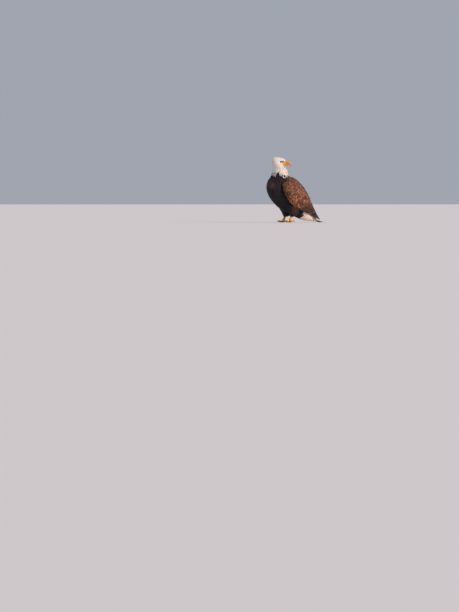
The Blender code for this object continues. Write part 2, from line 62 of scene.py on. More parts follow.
NECK_AXIS_Y = -0.090
HEAD_TURN = math.radians(150)
PLACE = np.array((0.0, -0.090, 0.0))  # moves the model over the origin
EYE_RADIUS = 0.0125
EYE_FORE, EYE_UP, EYE_SIDE = 0.0165, 0.5585, 0.0245
LEG_SIDE = 0.062
FOOT_Y = -0.012
FOOT_TURN = 25  # degrees to the bird's left
MOUTH_UP = 0.5389
SEED = 20


class Side(Enum):
    """The bird's two sides, as the sign of X."""

    LEFT = 1
    RIGHT = -1

    @property
    def word(self) -> str:
        """The side's name for pieces."""
        return self.name.lower()


# ---------------- curves and frames


def smooth_values(table: Array, at: Array) -> Array:
    """Reads a Catmull-Rom curve through the rows of a table.

    Between rows p1 and p2, with neighbours p0 and p3 and share x, the value is half of 2 p1 + (p2 - p0) x
    + (2 p0 - 5 p1 + 4 p2 - p3) x squared + (3 p1 - p0 - 3 p2 + p3) x cubed.

    Args:
        table: Rows of values.
        at: Places that count rows from 0.

    Returns:
        A row of values for each place.
    """
    table = np.asarray(table, float)
    at = np.clip(np.asarray(at, float), 0, len(table) - 1)
    start = np.minimum(at.astype(int), len(table) - 2)
    share = (at - start)[..., None]
    padded = np.vstack([2 * table[0] - table[1], table, 2 * table[-1] - table[-2]])
    before, here, there, after = (padded[start + step] for step in range(4))
    return 0.5 * (
        2 * here
        + (there - before) * share
        + (2 * before - 5 * here + 4 * there - after) * share**2
        + (3 * here - before - 3 * there + after) * share**3
    )


def in_side_view(fore: Array, up: Array, side: Array, turn: Array) -> Array:
    """Turns side-view distances into points: a share of the head's turn about the upright neck axis.

    Args:
        fore: Distance ahead of the neck axis.
        up: Height.
        side: Distance to the left.
        turn: Share of the head's turn.

    Returns:
        Points in the row frame.
    """
    fore, up, side, angle = np.broadcast_arrays(fore, up, side, np.asarray(turn) * HEAD_TURN)
    x = fore * np.sin(angle) + side * np.cos(angle)
    y = NECK_AXIS_Y - fore * np.cos(angle) + side * np.sin(angle)
    return np.stack([x, y, up], axis=-1) + PLACE


def on_head(points: Sequence | Array) -> Array:
    """Points in the row frame from rows of fore, up and side distances on the head."""
    rows = np.asarray(points, float)
    return in_side_view(rows[..., 0], rows[..., 1], rows[..., 2], 1.0)


def head_distances(points: Array) -> Array:
    """Fore, up and side distances of points in the head's own side view."""
    x, y = points[..., 0], points[..., 1] - PLACE[1] - NECK_AXIS_Y
    sine, cosine = math.sin(HEAD_TURN), math.cos(HEAD_TURN)
    return np.stack([x * sine - y * cosine, points[..., 2], x * cosine + y * sine], axis=-1)


def push(points: Array, centre: Sequence, reach: Sequence, by: Sequence) -> Array:
    """Moves points by a vector that fades as exp(-distance squared), all in head distances.

    Args:
        points: Points in the row frame.
        centre: Where the push is strongest.
        reach: How far it spreads.
        by: The push.

    Returns:
        The moved points.
    """
    rows = head_distances(points)
    far = (((rows - np.asarray(centre)) / np.asarray(reach)) ** 2).sum(axis=-1)
    return on_head(rows + np.exp(-far)[..., None] * np.asarray(by))


def unit(vectors: Array) -> Array:
    """Vectors made one long."""
    return vectors / np.maximum(np.linalg.norm(vectors, axis=-1, keepdims=True), 1e-12)


def eased(value: Array, low: float, high: float) -> Array:
    """0 below low, 1 above high, and 3x^2 - 2x^3 between."""
    share = np.clip((value - low) / (high - low), 0, 1)
    return share * share * (3 - 2 * share)


# ---------------- outer forms


class Spot(NamedTuple):
    """Places on a form: points, outward normals, and metres for a step of 1 in s and in t."""

    point: Array
    normal: Array
    metre_s: Array
    metre_t: Array


@dataclass
class Form:
    """A surface p(s, t): s runs the way that feathers lie, t runs across them.

    Beyond the ends of s it carries on straight.
    """

    s_span: Pair = (0.0, 1.0)
    round_about: bool = False
    heart: Triple = (0.0, -0.09, 0.25)  # a point behind its face
    outward: float = field(init=False, default=1.0)

    def __post_init__(self) -> None:
        """Finds which way its normals point."""
        s, t = np.array([sum(self.s_span) / 2]), np.array([0.4])
        point, normal, _, _ = self.frame_at(s, t)
        self.outward = float(np.sign(((point - np.asarray(self.heart)) * normal).sum()))

    def inner(self, s: Array, t: Array) -> Array:
        """The surface's own formula, inside its span.

        Args:
            s: Places along.
            t: Places across.

        Returns:
            Points.
        """
        raise NotImplementedError

    def at(self, s: Array, t: Array) -> Array:
        """Points of the surface, straight on beyond its span.

        Args:
            s: Places along.
            t: Places across.

        Returns:
            Points in the row frame.
        """
        s, t = np.broadcast_arrays(np.asarray(s, float), np.asarray(t, float))
        low, high = self.s_span
        held = np.clip(s, low, high)
        points = self.inner(held, t)
        beyond = s - held
        if np.any(beyond):
            step = 1e-3 * np.where(beyond > 0, 1.0, -1.0)
            slope = (points - self.inner(held - step, t)) / step[..., None]
            points = points + slope * beyond[..., None]
        return points

    def frame_at(self, s: Array, t: Array) -> Spot:
        """The surface at places on it, from differences over a small step.

        Args:
            s: Places along.
            t: Places across.

        Returns:
            Points, normals, and metres for a step of 1.
        """
        step, least = 1e-3, 1e-4
        along = (self.at(s + step, t) - self.at(s - step, t)) / (2 * step)
        across = (self.at(s, t + step) - self.at(s, t - step)) / (2 * step)
        return Spot(
            self.at(s, t),
            unit(np.cross(along, across)) * self.outward,
            np.maximum(np.linalg.norm(along, axis=-1), least),
            np.maximum(np.linalg.norm(across, axis=-1), least),
        )

    def net(self, stations: Pair, rows: int, columns: int) -> Array:
        """Points spread evenly over a range of s and the whole of t."""
        s, t = np.meshgrid(np.linspace(*stations, rows), np.linspace(0, 1, columns), indexing="ij")
        return self.at(s.ravel(), t.ravel())

    def depth(self, s: Array) -> Array:
        """How deep the coat is at a place along."""
        return np.full(np.shape(s), 0.005)


BODY = (
    # top point (fore, up), under point (fore, up), half width, share of the turn, coat's depth
    (0.0560, 0.5740, 0.0330, 0.5330, 0.0130, 1.0, 0.0006),
    (0.0490, 0.5850, 0.0350, 0.5240, 0.0215, 1.0, 0.0010),
    (0.0300, 0.5970, 0.0380, 0.5185, 0.0305, 1.0, 0.0014),
    (0.0030, 0.6050, 0.0430, 0.5145, 0.0365, 1.0, 0.0020),
    (-0.0340, 0.6090, 0.0490, 0.5110, 0.0420, 1.0, 0.0028),
    (-0.0660, 0.5970, 0.0555, 0.5065, 0.0475, 1.0, 0.0038),
    (-0.0740, 0.5660, 0.0620, 0.5005, 0.0535, 1.0, 0.0048),
    (-0.0755, 0.5320, 0.0700, 0.4920, 0.0590, 0.95, 0.0056),
    (-0.0770, 0.4980, 0.0765, 0.4785, 0.0655, 0.80, 0.0062),
    (-0.0770, 0.4700, 0.0780, 0.4600, 0.0730, 0.45, 0.0068),
    (-0.0790, 0.4480, 0.0790, 0.4440, 0.0790, 0.12, 0.0074),
    (-0.1120, 0.4230, 0.0900, 0.4220, 0.0920, 0.0, 0.0080),
    (-0.1740, 0.3890, 0.1160, 0.3870, 0.1070, 0.0, 0.0080),
    (-0.2240, 0.3370, 0.1320, 0.3350, 0.1150, 0.0, 0.0080),
    (-0.2700, 0.2840, 0.1230, 0.2800, 0.1170, 0.0, 0.0080),
    (-0.2980, 0.2360, 0.0980, 0.2300, 0.1140, 0.0, 0.0080),
    (-0.3200, 0.1880, 0.0540, 0.1790, 0.1060, 0.0, 0.0080),
    (-0.3340, 0.1490, -0.0060, 0.1290, 0.0900, 0.0, 0.0078),
    (-0.3450, 0.1150, -0.0900, 0.0880, 0.0720, 0.0, 0.0072),
    (-0.3560, 0.0870, -0.1750, 0.0480, 0.0560, 0.0, 0.0064),
    (-0.3700, 0.0620, -0.2550, 0.0200, 0.0430, 0.0, 0.0052),
    (-0.3880, 0.0410, -0.3250, 0.0130, 0.0330, 0.0, 0.0036),
)
FACE_LOW, FACE_FADE = 0.47, 0.03  # height where the face's forms start, and over which they come in
FACE_FORMS = (
    # centre, reach, move, in head distances for the bird's left
    ((EYE_FORE + 0.006, EYE_UP, 0.035), (0.020, 0.011, 0.020), (0.0, 0.0, -0.0045)),  # hollow of the eye
    ((0.020, 0.574, 0.034), (0.026, 0.007, 0.020), (0.002, -0.001, 0.0030)),  # brow
    ((0.000, 0.532, 0.042), (0.026, 0.020, 0.020), (0.0, 0.0, 0.003)),  # cheek
)


@dataclass
class BodyForm(Form):
    """Head, neck, trunk and tail coverts: ellipses round stations, turned with the head.

    A ring's point at angle a is top + (under - top)(1 - cos a)/2 in the side view and half width times sin a
    to the side, and the face's forms then move it.
    """

    s_span: Pair = (0.0, 21.0)
    round_about: bool = True

    def inner(self, s: Array, t: Array) -> Array:
        """Points at station s and share t of the way round."""
        row = np.moveaxis(smooth_values(BODY, s), -1, 0)
        around = 2 * math.pi * t + row[5] * HEAD_TURN
        drop = (1 - np.cos(around)) / 2
        fore = row[0] + (row[2] - row[0]) * drop
        up = row[1] + (row[3] - row[1]) * drop
        plain = in_side_view(fore, up, row[4] * np.sin(around), row[5])
        face = plain
        for centre, reach, by in FACE_FORMS:
            for sign in (-1, 1):
                mirror = np.array((1, 1, sign))
                face = push(face, np.asarray(centre) * mirror, reach, np.asarray(by) * mirror)
        return plain + (face - plain) * np.clip((plain[..., 2:] - FACE_LOW) / FACE_FADE, 0, 1)

    def depth(self, s: Array) -> Array:
        """The coat's depth, from the table of stations."""
        return smooth_values(BODY, s)[..., 6]


WING = (
    # edge by the spine (x, y, z), edge on the flank (x, y, z), bow
    (0.068, -0.060, 0.421, 0.096, -0.106, 0.390, 0.010),
    (0.052, 0.012, 0.423, 0.113, -0.124, 0.346, 0.033),
    (0.036, 0.086, 0.388, 0.126, -0.112, 0.290, 0.046),
    (0.024, 0.144, 0.338, 0.132, -0.070, 0.222, 0.056),
    (0.016, 0.190, 0.282, 0.123, -0.008, 0.160, 0.058),
    (0.012, 0.224, 0.226, 0.105, 0.070, 0.114, 0.049),
    (0.010, 0.253, 0.170, 0.083, 0.145, 0.092, 0.037),
    (0.010, 0.280, 0.118, 0.067, 0.210, 0.074, 0.022),
    (0.016, 0.303, 0.072, 0.054, 0.270, 0.048, 0.009),
    (0.030, 0.322, 0.034, 0.042, 0.316, 0.026, 0.002),
)
WING_THICK, WING_EDGE, WING_FULLNESS = 0.016, 0.003, 0.85


@dataclass
class WingForm(Form):
    """A folded wing's outer face: a chord from the spine's edge to the flank's, bowed by sin(pi t)^0.85."""

    side: Side = Side.LEFT
    s_span: Pair = (0.0, 9.0)

    def inner(self, s: Array, t: Array) -> Array:
        """Points at station s and share t of the chord."""
        row = smooth_values(WING, s)
        ahead, behind = np.clip(s + 0.3, *self.s_span), np.clip(s - 0.3, *self.s_span)
        front, back = smooth_values(WING, behind), smooth_values(WING, ahead)
        run = (back[..., :3] + back[..., 3:6] - front[..., :3] - front[..., 3:6]) / 2
        chord = row[..., 3:6] - row[..., :3]
        out = unit(np.cross(chord, run))
        bow = row[..., 6:7] * np.sin(math.pi * np.clip(t, 0, 1))[..., None] ** WING_FULLNESS
        points = row[..., :3] + chord * t[..., None] + out * bow
        return points * (self.side.value, 1, 1) + PLACE

    def depth(self, s: Array) -> Array:
        """Thinner at the two ends."""
        end = np.clip(np.minimum(s, self.s_span[1] - s) / 2, 0, 1)
        return 0.0018 + 0.0040 * end


THIGH = (
    # up, middle y, half length fore and aft, half width, middle x
    (0.200, 0.008, 0.052, 0.036, 0.064),
    (0.165, 0.008, 0.064, 0.046, 0.068),
    (0.130, 0.014, 0.062, 0.048, 0.069),
    (0.100, 0.024, 0.054, 0.044, 0.067),
    (0.076, 0.025, 0.044, 0.037, 0.064),
    (0.062, 0.019, 0.031, 0.029, 0.062),
    (0.056, 0.011, 0.022, 0.020, 0.062),
)


@dataclass
class ThighForm(Form):
    """A feathered upper leg: level ellipses down a leaning line."""

    side: Side = Side.LEFT
    s_span: Pair = (0.0, 6.0)
    round_about: bool = True

    def inner(self, s: Array, t: Array) -> Array:
        """Points at station s and share t of the way round."""
        up, y, half_y, half_x, x = np.moveaxis(smooth_values(THIGH, s), -1, 0)
        around = 2 * math.pi * t
        across = self.side.value * (x + half_x * np.sin(around))
        return np.stack([across, y + half_y * np.cos(around), up], -1) + PLACE

    def depth(self, s: Array) -> Array:
        """Thinner towards the cuff."""
        return 0.0075 - 0.0045 * eased(np.asarray(s, float), 3.5, 6.0)


FOLD_STATIONS = 25
BODY_BESIDE, THIGH_BESIDE = (9.5, 18.0), (0.5, 4.0)  # stations of body and thigh where a fold may start


@dataclass
class FoldForm(Form):
    """A fold of feathers that closes the space between the body and one of a wing's edges.

    A point is body + (wing - body) t, for places at station s of two lines, and the fold swells by sin(pi t).
    """

    side: Side = Side.LEFT
    s_span: Pair = (0.0, FOLD_STATIONS - 1.0)
    heart: Triple = (0.0, 0.0, 0.30)
    swell: float = 0.006
    edge_t: float = 0.985  # share of the wing's chord that it reaches to
    ends: Pair = (0.35, 5.0)  # the wing's stations from which and to which it runs
    proud: float = -0.004  # of the wing's face
    inwards: float = 0.0  # from the wing's edge to where it starts on the body
    facing: Triple = (0.0, -1.0, -1.0)  # the way that its outer face looks
    lines: Array = field(init=False)

    def __post_init__(self) -> None:
        """Finds for each place on the wing's edge the nearest place on the body or thigh."""
        s = np.linspace(*self.ends, FOLD_STATIONS)
        spot = WingForm(side=self.side).frame_at(s, np.full(FOLD_STATIONS, self.edge_t))
        edge = spot.point + spot.normal * self.proud
        body = BodyForm().net(BODY_BESIDE, 120, 160)
        thigh = ThighForm(side=self.side).net(THIGH_BESIDE, 40, 60)
        near = np.concatenate([body, thigh])
        start = edge - np.array((self.side.value * self.inwards, 0, 0))
        start[:, 0] = np.maximum(start[:, 0] * self.side.value, 0.004) * self.side.value
        found = near[((start[:, None] - near[None]) ** 2).sum(-1).argmin(1)]
        for _ in range(4):
            found[1:-1] = (found[:-2] + 2 * found[1:-1] + found[2:]) / 4
        self.lines = np.concatenate([found, edge], axis=1)
        super().__post_init__()

    def inner(self, s: Array, t: Array) -> Array:
        """Points at place s along the two lines and share t from body to wing."""
        row = smooth_values(self.lines, s)
        across = row[..., 3:] - row[..., :3]
        run = smooth_values(self.lines, s + 0.5) - smooth_values(self.lines, np.maximum(s - 0.5, 0))
        out = unit(np.cross(across, run[..., 3:]))
        out = out * np.sign((out * self.facing).sum(-1, keepdims=True))
        bulge = self.swell * np.sin(math.pi * np.clip(t, 0, 1))[..., None]
        return row[..., :3] + across * t[..., None] + out * bulge


TAIL_LENGTH, TAIL_ROOT_Y, TAIL_SLOPE = 0.262, 0.170, math.radians(48)
TAIL_ROOT_HALF, TAIL_TIP_HALF, TAIL_FAN = 0.024, 0.060, 0.8
TAIL_ROOT_THICK, TAIL_TIP_THICK, TAIL_SINK = 0.012, 0.004, 0.0008
TAIL_ARCH, TAIL_FLATTENING = 0.007, 0.8


@dataclass
class TailForm(Form):
    """The closed tail's middle sheet: a circle's arc that eases from its slope to level, arched across."""

    s_span: Pair = (0.0, 1.0)
    heart: Triple = (0.0, 0.14, -0.5)
    level: float = 0.0  # of a sheet of the stack, in the tail's thickness

    def inner(self, s: Array, t: Array) -> Array:
        """Points at share s of the length, and t from -1 to 1 across."""
        radius = TAIL_LENGTH / TAIL_SLOPE
        slope = TAIL_SLOPE * (1 - s)
        y = TAIL_ROOT_Y + radius * (math.sin(TAIL_SLOPE) - np.sin(slope))
        up = TAIL_TIP_THICK / 2 - TAIL_SINK + radius * (1 - np.cos(slope))
        half = TAIL_ROOT_HALF + (TAIL_TIP_HALF - TAIL_ROOT_HALF) * np.maximum(s, 1e-6) ** TAIL_FAN
        arch = TAIL_ARCH * (1 - t**2) * (1 - TAIL_FLATTENING * s)
        thick = TAIL_ROOT_THICK + (TAIL_TIP_THICK - TAIL_ROOT_THICK) * s
        return np.stack([half * t, y, up + arch + self.level * thick], -1) + PLACE


# ---------------- meshes


@dataclass
class Shell:
    """A closed mesh in the making: points, quads, triangles, and values at its points."""

    points: Array
    quads: Array
    tris: Array = field(default_factory=lambda: np.zeros((0, 3), int))
    values: dict[str, Array] = field(default_factory=dict)
    maps: dict[str, Array] = field(default_factory=dict)
    finish: int = 0

    @staticmethod
    def joined(shells: Iterable["Shell"]) -> tuple["Shell", Array]:
        """One shell from several, and the finish's number at each face.

        Args:
            shells: The shells. Where one lacks a value or a map that another has, it gets zeros.

        Returns:
            The joined shell, and an array of finishes, quads first.
        """
        shells = list(shells)
        starts = np.cumsum([0] + [len(one.points) for one in shells])

        def gathered(kind: str, shape: tuple[int, ...]) -> dict[str, Array]:
            """Every named array of one kind, shell after shell."""
            parts = [(getattr(one, kind), np.zeros((len(one.points), *shape))) for one in shells]
            names = sorted({name for arrays, _ in parts for name in arrays})
            return {name: np.concatenate([arrays.get(name, gap) for arrays, gap in parts]) for name in names}

        whole = Shell(
            np.concatenate([one.points for one in shells]),
            np.concatenate([one.quads + start for one, start in zip(shells, starts)]),
            np.concatenate([one.tris + start for one, start in zip(shells, starts)]),
            gathered("values", ()),
            gathered("maps", (2,)),
        )
        finishes = [np.full(len(one.quads), one.finish) for one in shells]
        finishes += [np.full(len(one.tris), one.finish) for one in shells]
        return whole, np.concatenate(finishes)


def tube(grid: Array, **rest: object) -> Shell:
    """A closed shell from rings of points, with a middle point over each end.

    Args:
        grid: Rows by segments by 3.
        rest: Other fields of the shell, whose values are given ring by ring.

    Returns:
        The shell, its faces outwards where rows and segments turn that way.
    """
    rows, segments = grid.shape[:2]
    ends = np.stack([grid[0].mean(0), grid[-1].mean(0)])
    points = np.concatenate([grid.reshape(-1, 3), ends])
    number = np.arange(rows * segments).reshape(rows, segments)
    after = np.roll(number, -1, axis=1)
    quads = np.stack([number[:-1], after[:-1], after[1:], number[1:]], -1)
    first, last = np.full(segments, rows * segments), np.full(segments, rows * segments + 1)
    top = np.stack([after[0], number[0], first], -1)
    under = np.stack([number[-1], after[-1], last], -1)
    values = {
        name: np.concatenate([flat.ravel(), [flat[0].mean(), flat[-1].mean()]])
        for name, flat in rest.pop("values", {}).items()
    }
    shell = Shell(points, quads.reshape(-1, 4), np.concatenate([top, under]), values, **rest)
    return outwards(shell)


def outwards(shell: Shell) -> Shell:
    """The shell with its faces turned outwards: its volume, summed over its faces, is made positive.

    Args:
        shell: A closed shell.

    Returns:
        The same shell.
    """
    p = shell.points
    both = np.concatenate([shell.quads[:, [0, 1, 2]], shell.quads[:, [0, 2, 3]], shell.tris])
    volume = np.einsum("ij,ij->i", p[both[:, 0]], np.cross(p[both[:, 1]], p[both[:, 2]])).sum()
    if volume < 0:
        shell.quads, shell.tris = shell.quads[:, ::-1].copy(), shell.tris[:, ::-1].copy()
    return shell


def sheet_pair(top: Array, under: Array, **rest: object) -> Shell:
    """A closed shell between two grids of points, joined round their rims.

    Args:
        top: Rows by columns by 3.
        under: The same for the other face.
        rest: Other fields of the shell.

    Returns:
        The shell.
    """
    rows, columns = top.shape[:2]
    points = np.concatenate([top.reshape(-1, 3), under.reshape(-1, 3)])
    number, shift = np.arange(rows * columns).reshape(rows, columns), rows * columns
    corners = (number[:-1, :-1], number[:-1, 1:], number[1:, 1:], number[1:, :-1])
    faces = np.stack(corners, -1).reshape(-1, 4)
    rim = np.concatenate([number[0], number[1:, -1], number[-1, -2::-1], number[-2:0:-1, 0]])
    after = np.roll(rim, -1)
    sides = np.stack([after, rim, rim + shift, after + shift], -1)
    return outwards(Shell(points, np.concatenate([faces, faces[:, ::-1] + shift, sides]), **rest))


def shown(name: str, data: bpy.types.ID) -> bpy.types.Object:
    """A new object in the scene, with this mesh, light or camera.

    Args:
        name: The object's name.
        data: What it holds.

    Returns:
        The object.
    """
    made = bpy.data.objects.new(name, data)
    bpy.context.scene.collection.objects.link(made)
    return made


def piece_from(
    name: str,
    shell: Shell,
    finishes: Sequence[Material],
    finish_of_face: Optional[Array] = None,
    rim: Optional[Array] = None,
) -> bpy.types.Object:
    """Puts a shell into a mesh object that rides on the bird's body.

    Args:
        name: The piece's name.
        shell: Its points, faces and values.
        finishes: Its materials.
        finish_of_face: The number of each face's material, quads first.
        rim: True at the points of a feather's rim, whose edges stay sharp.

    Returns:
        The object.
    """
    mesh = bpy.data.meshes.new(name)
    mesh.vertices.add(len(shell.points))
    mesh.vertices.foreach_set("co", shell.points.astype(np.float32).ravel())
    corners = np.concatenate([shell.quads.ravel(), shell.tris.ravel()]).astype(np.int32)
    starts = np.concatenate(
        [np.arange(len(shell.quads)) * 4, len(shell.quads) * 4 + np.arange(len(shell.tris)) * 3]
    ).astype(np.int32)
    mesh.loops.add(len(corners))
    mesh.loops.foreach_set("vertex_index", corners)
    mesh.polygons.add(len(starts))
    mesh.polygons.foreach_set("loop_start", starts)
    if finish_of_face is not None:
        mesh.polygons.foreach_set("material_index", finish_of_face.astype(np.int32))
    mesh.update(calc_edges=True)
    for value, numbers in shell.values.items():
        mesh.attributes.new(value, "FLOAT", "POINT").data.foreach_set("value", numbers.astype(np.float32))
    for map_name, places in shell.maps.items():
        layer = mesh.uv_layers.new(name=map_name)
        layer.uv.foreach_set("vector", places[corners].astype(np.float32).ravel())
    mesh.shade_smooth()
    if rim is not None:
        ends = np.zeros(len(mesh.edges) * 2, np.int32)
        mesh.edges.foreach_get("vertices", ends)
        sharp = rim[ends].reshape(-1, 2).all(axis=1)
        edge = mesh.attributes.get("sharp_edge") or mesh.attributes.new("sharp_edge", "BOOLEAN", "EDGE")
        edge.data.foreach_set("value", sharp)
    for finish in finishes:
        mesh.materials.append(finish)
    made = shown(name, mesh)
    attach(made, "root")
    LOG.info("%s: %d triangles", name, 2 * len(shell.quads) + len(shell.tris))
    return made


# ---------------- finishes


class Number:
    """A number that a material's nodes work out: plain operators on it make Math nodes."""

    def __init__(self, graph: "Graph", socket: Socket) -> None:
        """Keeps the graph that new nodes go into, and the socket that holds the number."""
        self.graph, self.socket = graph, socket

    def math(self, operation: str, *operands: object) -> "Number":
        """The result of a Math node.

        Args:
            operation: The operation's name.
            operands: Numbers, plain or worked out.

        Returns:
            The number.
        """
        node = self.graph.tree.nodes.new("ShaderNodeMath")
        node.operation = operation
        for socket, operand in zip(node.inputs, operands):
            self.graph.put(socket, operand)
        return Number(self.graph, node.outputs[0])

    def __add__(self, other: object) -> "Number":
        """This plus other."""
        return self.math("ADD", self, other)

    def __radd__(self, other: float) -> "Number":
        """A plain number plus this."""
        return self.math("ADD", other, self)

    def __sub__(self, other: object) -> "Number":
        """This less other."""
        return self.math("SUBTRACT", self, other)

    def __rsub__(self, other: float) -> "Number":
        """A plain number less this."""
        return self.math("SUBTRACT", other, self)

    def __mul__(self, other: object) -> "Number":
        """This times other."""
        return self.math("MULTIPLY", self, other)

    def __abs__(self) -> "Number":
        """This without its sign."""
        return self.math("ABSOLUTE", self)

    def at_least(self, other: object) -> "Number":
        """The larger of this and other."""
        return self.math("MAXIMUM", self, other)


class Graph:
    """A material in the making: each method adds a node or two."""

    def __init__(self, name: str) -> None:
        """Makes the material, with one Principled shader.

        Args:
            name: The material's name.
        """
        self.material = bpy.data.materials.new(name)
        self.material.use_nodes = True
        self.tree = self.material.node_tree
        self.shader = self.tree.nodes["Principled BSDF"]

    def put(self, socket: Socket, value: object) -> None:
        """Links a socket, or sets it where the value is plain.

        Args:
            socket: An input.
            value: A Number, another node's output, a colour or a plain number.
        """
        value = value.socket if isinstance(value, Number) else value
        if isinstance(value, Socket):
            self.tree.links.new(value, socket)
        elif isinstance(value, tuple) and len(value) == 3 and socket.type == "RGBA":
            socket.default_value = (*value, 1.0)
        else:
            socket.default_value = value

    def set(self, **values: object) -> None:
        """Sets or links the shader's sockets, named with _ for a space."""
        for name, value in values.items():
            title = name.replace("_", " ").title().replace("Ior", "IOR")
            self.put(self.shader.inputs[title], value)

    def node(self, kind: str, **inputs: object) -> bpy.types.Node:
        """Adds a node and feeds its inputs, named with _ for a space.

        Args:
            kind: The node's kind.
            inputs: What goes into it.

        Returns:
            The node.
        """
        made = self.tree.nodes.new(f"ShaderNode{kind}")
        for name, value in inputs.items():
            self.put(made.inputs[name.replace("_", " ").title()], value)
        return made

    def eased(self, value: Number, low: float, high: float) -> Number:
        """0 to 1, smoothly, as the value goes from low to high."""
        node = self.node("MapRange", value=value, from_min=low, from_max=high)
        node.interpolation_type = "SMOOTHSTEP"
        return Number(self, node.outputs["Result"])

    def mix(self, share: object, one: object, other: object, blend: str = "MIX") -> Socket:
        """A colour between two others.

        Args:
            share: How much of the other colour.
            one: A colour.
            other: Another colour.
            blend: The blend's name.

        Returns:
            The colour.
        """
        node = self.node("Mix")
        node.data_type, node.blend_type = "RGBA", blend
        node.clamp_factor = True
        for place, value in ((0, share), (6, one), (7, other)):
            self.put(node.inputs[place], value)
        return node.outputs[2]

    def value(self, name: str) -> Number:
        """A number stored at the mesh's points."""
        node = self.node("Attribute")
        node.attribute_name = name
        return Number(self, node.outputs["Fac"])

    def place(self) -> Socket:
        """Object coordinates."""
        return self.node("TexCoord").outputs["Object"]

    def vane(self) -> tuple[Number, Number]:
        """Share along a feather, and 0 at its shaft to 1 at its edge."""
        source = self.node("UVMap")
        source.uv_map = "vane"
        parts = self.node("SeparateXYZ", vector=source.outputs[0])
        along, across = Number(self, parts.outputs[0]), Number(self, parts.outputs[1])
        return along, abs(across - 0.5) * 2.0

    def vector(self, x: object, y: object, z: object = 0.0) -> Socket:
        """A vector from three numbers."""
        return self.node("CombineXYZ", x=x, y=y, z=z).outputs[0]

    def noise(self, where: object, scale: float, detail: float = 2.0) -> Number:
        """Noise about a half, finer as its scale is larger, with finer layers as its detail is larger."""
        node = self.node("TexNoise", vector=where, scale=scale, detail=detail)
        return Number(self, node.outputs["Fac"])

    def cells(self, where: object, scale: float) -> Number:
        """Distance from the middle of the nearest of many small cells."""
        node = self.node("TexVoronoi", vector=where, scale=scale)
        return Number(self, node.outputs["Distance"])

    def bump(self, height: Number, strength: float, distance: float) -> None:
        """Gives the shader this height."""
        node = self.node("Bump", height=height, strength=strength, distance=distance)
        self.put(self.shader.inputs["Normal"], node.outputs[0])


@dataclass(frozen=True)
class VaneFinish:
    """A feather: painted shade at its hidden root, paler or darker at its edge, with a shaft and fine barbs.
    """

    name: str
    # painted shade: darker at the root, where other feathers lie over it
    base: Colour  # at the root, which other feathers hide
    main: Colour
    other: Colour  # what shade 1 turns main into
    edge: Colour
    shaft: Colour
    edge_share: float
    edge_from: float
    shaft_width: float
    barbs: float
    uneven: float
    roughness: float
    sheen: float
    patches: float = 0.15  # how much broad patches of feathers differ
    patch_scale: float = 26.0
    ragged: float = 0.35
    barb_slant: float = 0.35

    def make(self) -> Material:
        """The material, which reads the vane map and the tint and shade of each feather."""
        g = Graph(self.name)
        along, off = g.vane()
        tint, shade = g.value("tint"), g.value("shade")
        main = g.mix(shade, self.main, self.other)
        # painted shade towards the root, under the feathers that lie over it
        colour = g.mix(g.eased(along, 0.05, 0.45), self.base, main)
        ragged = (g.noise(g.place(), 180.0) - 0.5) * self.ragged
        rim = (off * off).at_least(g.eased(along, 0.62, 1.0)) + ragged
        fringe = g.eased(rim, self.edge_from, 1.0) * self.edge_share * g.eased(tint, -0.2, 0.9)
        colour = g.mix(fringe, colour, self.edge)
        slanted = (along - off * self.barb_slant) * self.barbs
        barb = g.noise(g.vector(slanted, off * 1.5, tint * 37.0), 1.0, 1.0)
        near = 1.0 - g.eased(off, self.shaft_width * 0.5, self.shaft_width)
        colour = g.mix(near * g.eased(along, 1.0, 0.55), colour, self.shaft)
        light = (tint - 0.5) * (2 * self.uneven) + (barb - 0.5) * (self.uneven * 1.6)
        patch = g.noise(g.place(), self.patch_scale) - 0.5
        light = (1.0 + (light + patch * (2 * self.patches))).at_least(0.2)
        colour = g.mix(1.0, colour, g.vector(light, light, light), "MULTIPLY")
        g.set(base_color=colour, roughness=self.roughness, sheen_weight=self.sheen, sheen_roughness=0.5)
        g.set(specular_ior_level=0.2)
        g.bump(barb, 0.35, 0.0005)
        return g.material


@dataclass(frozen=True)
class SkinFinish:
    """Skin under the coat, white or dark as the coat is, and about the eye unfeathered skin and painted
    shade.
    """

    white: Colour = (0.60, 0.56, 0.50)
    dark: Colour = (0.010, 0.008, 0.008)
    brown: Colour = (0.050, 0.022, 0.015)
    # dark brown about the eye: partly the unfeathered skin's colour, partly painted shade under the brow
    bare: Colour = (0.13, 0.080, 0.045)
    lip: Colour = (0.72, 0.36, 0.018)
    grain: float = 420.0

    def make(self) -> Material:
        """The material, which reads the markings stored at the skin's points."""
        g = Graph("feathered_skin")
        colour = g.mix(g.value("white"), g.mix(g.value("brown"), self.dark, self.brown), self.white)
        grain = g.noise(g.place(), self.grain, 3.0)
        # the unfeathered skin's colour with painted shade, about the eye, on the lids and on the brows
        bare = g.mix(g.eased(grain, 0.35, 0.65), self.bare, tuple(c * 0.55 for c in self.bare))
        colour = g.mix(g.value("bare"), colour, bare)
        lip = g.mix(g.eased(grain, 0.4, 0.7), self.lip, tuple(c * 0.8 for c in self.lip))
        g.set(base_color=g.mix(g.value("lip"), colour, lip), roughness=0.6, specular_ior_level=0.3)
        g.bump(grain, 0.4, 0.0006)
        return g.material


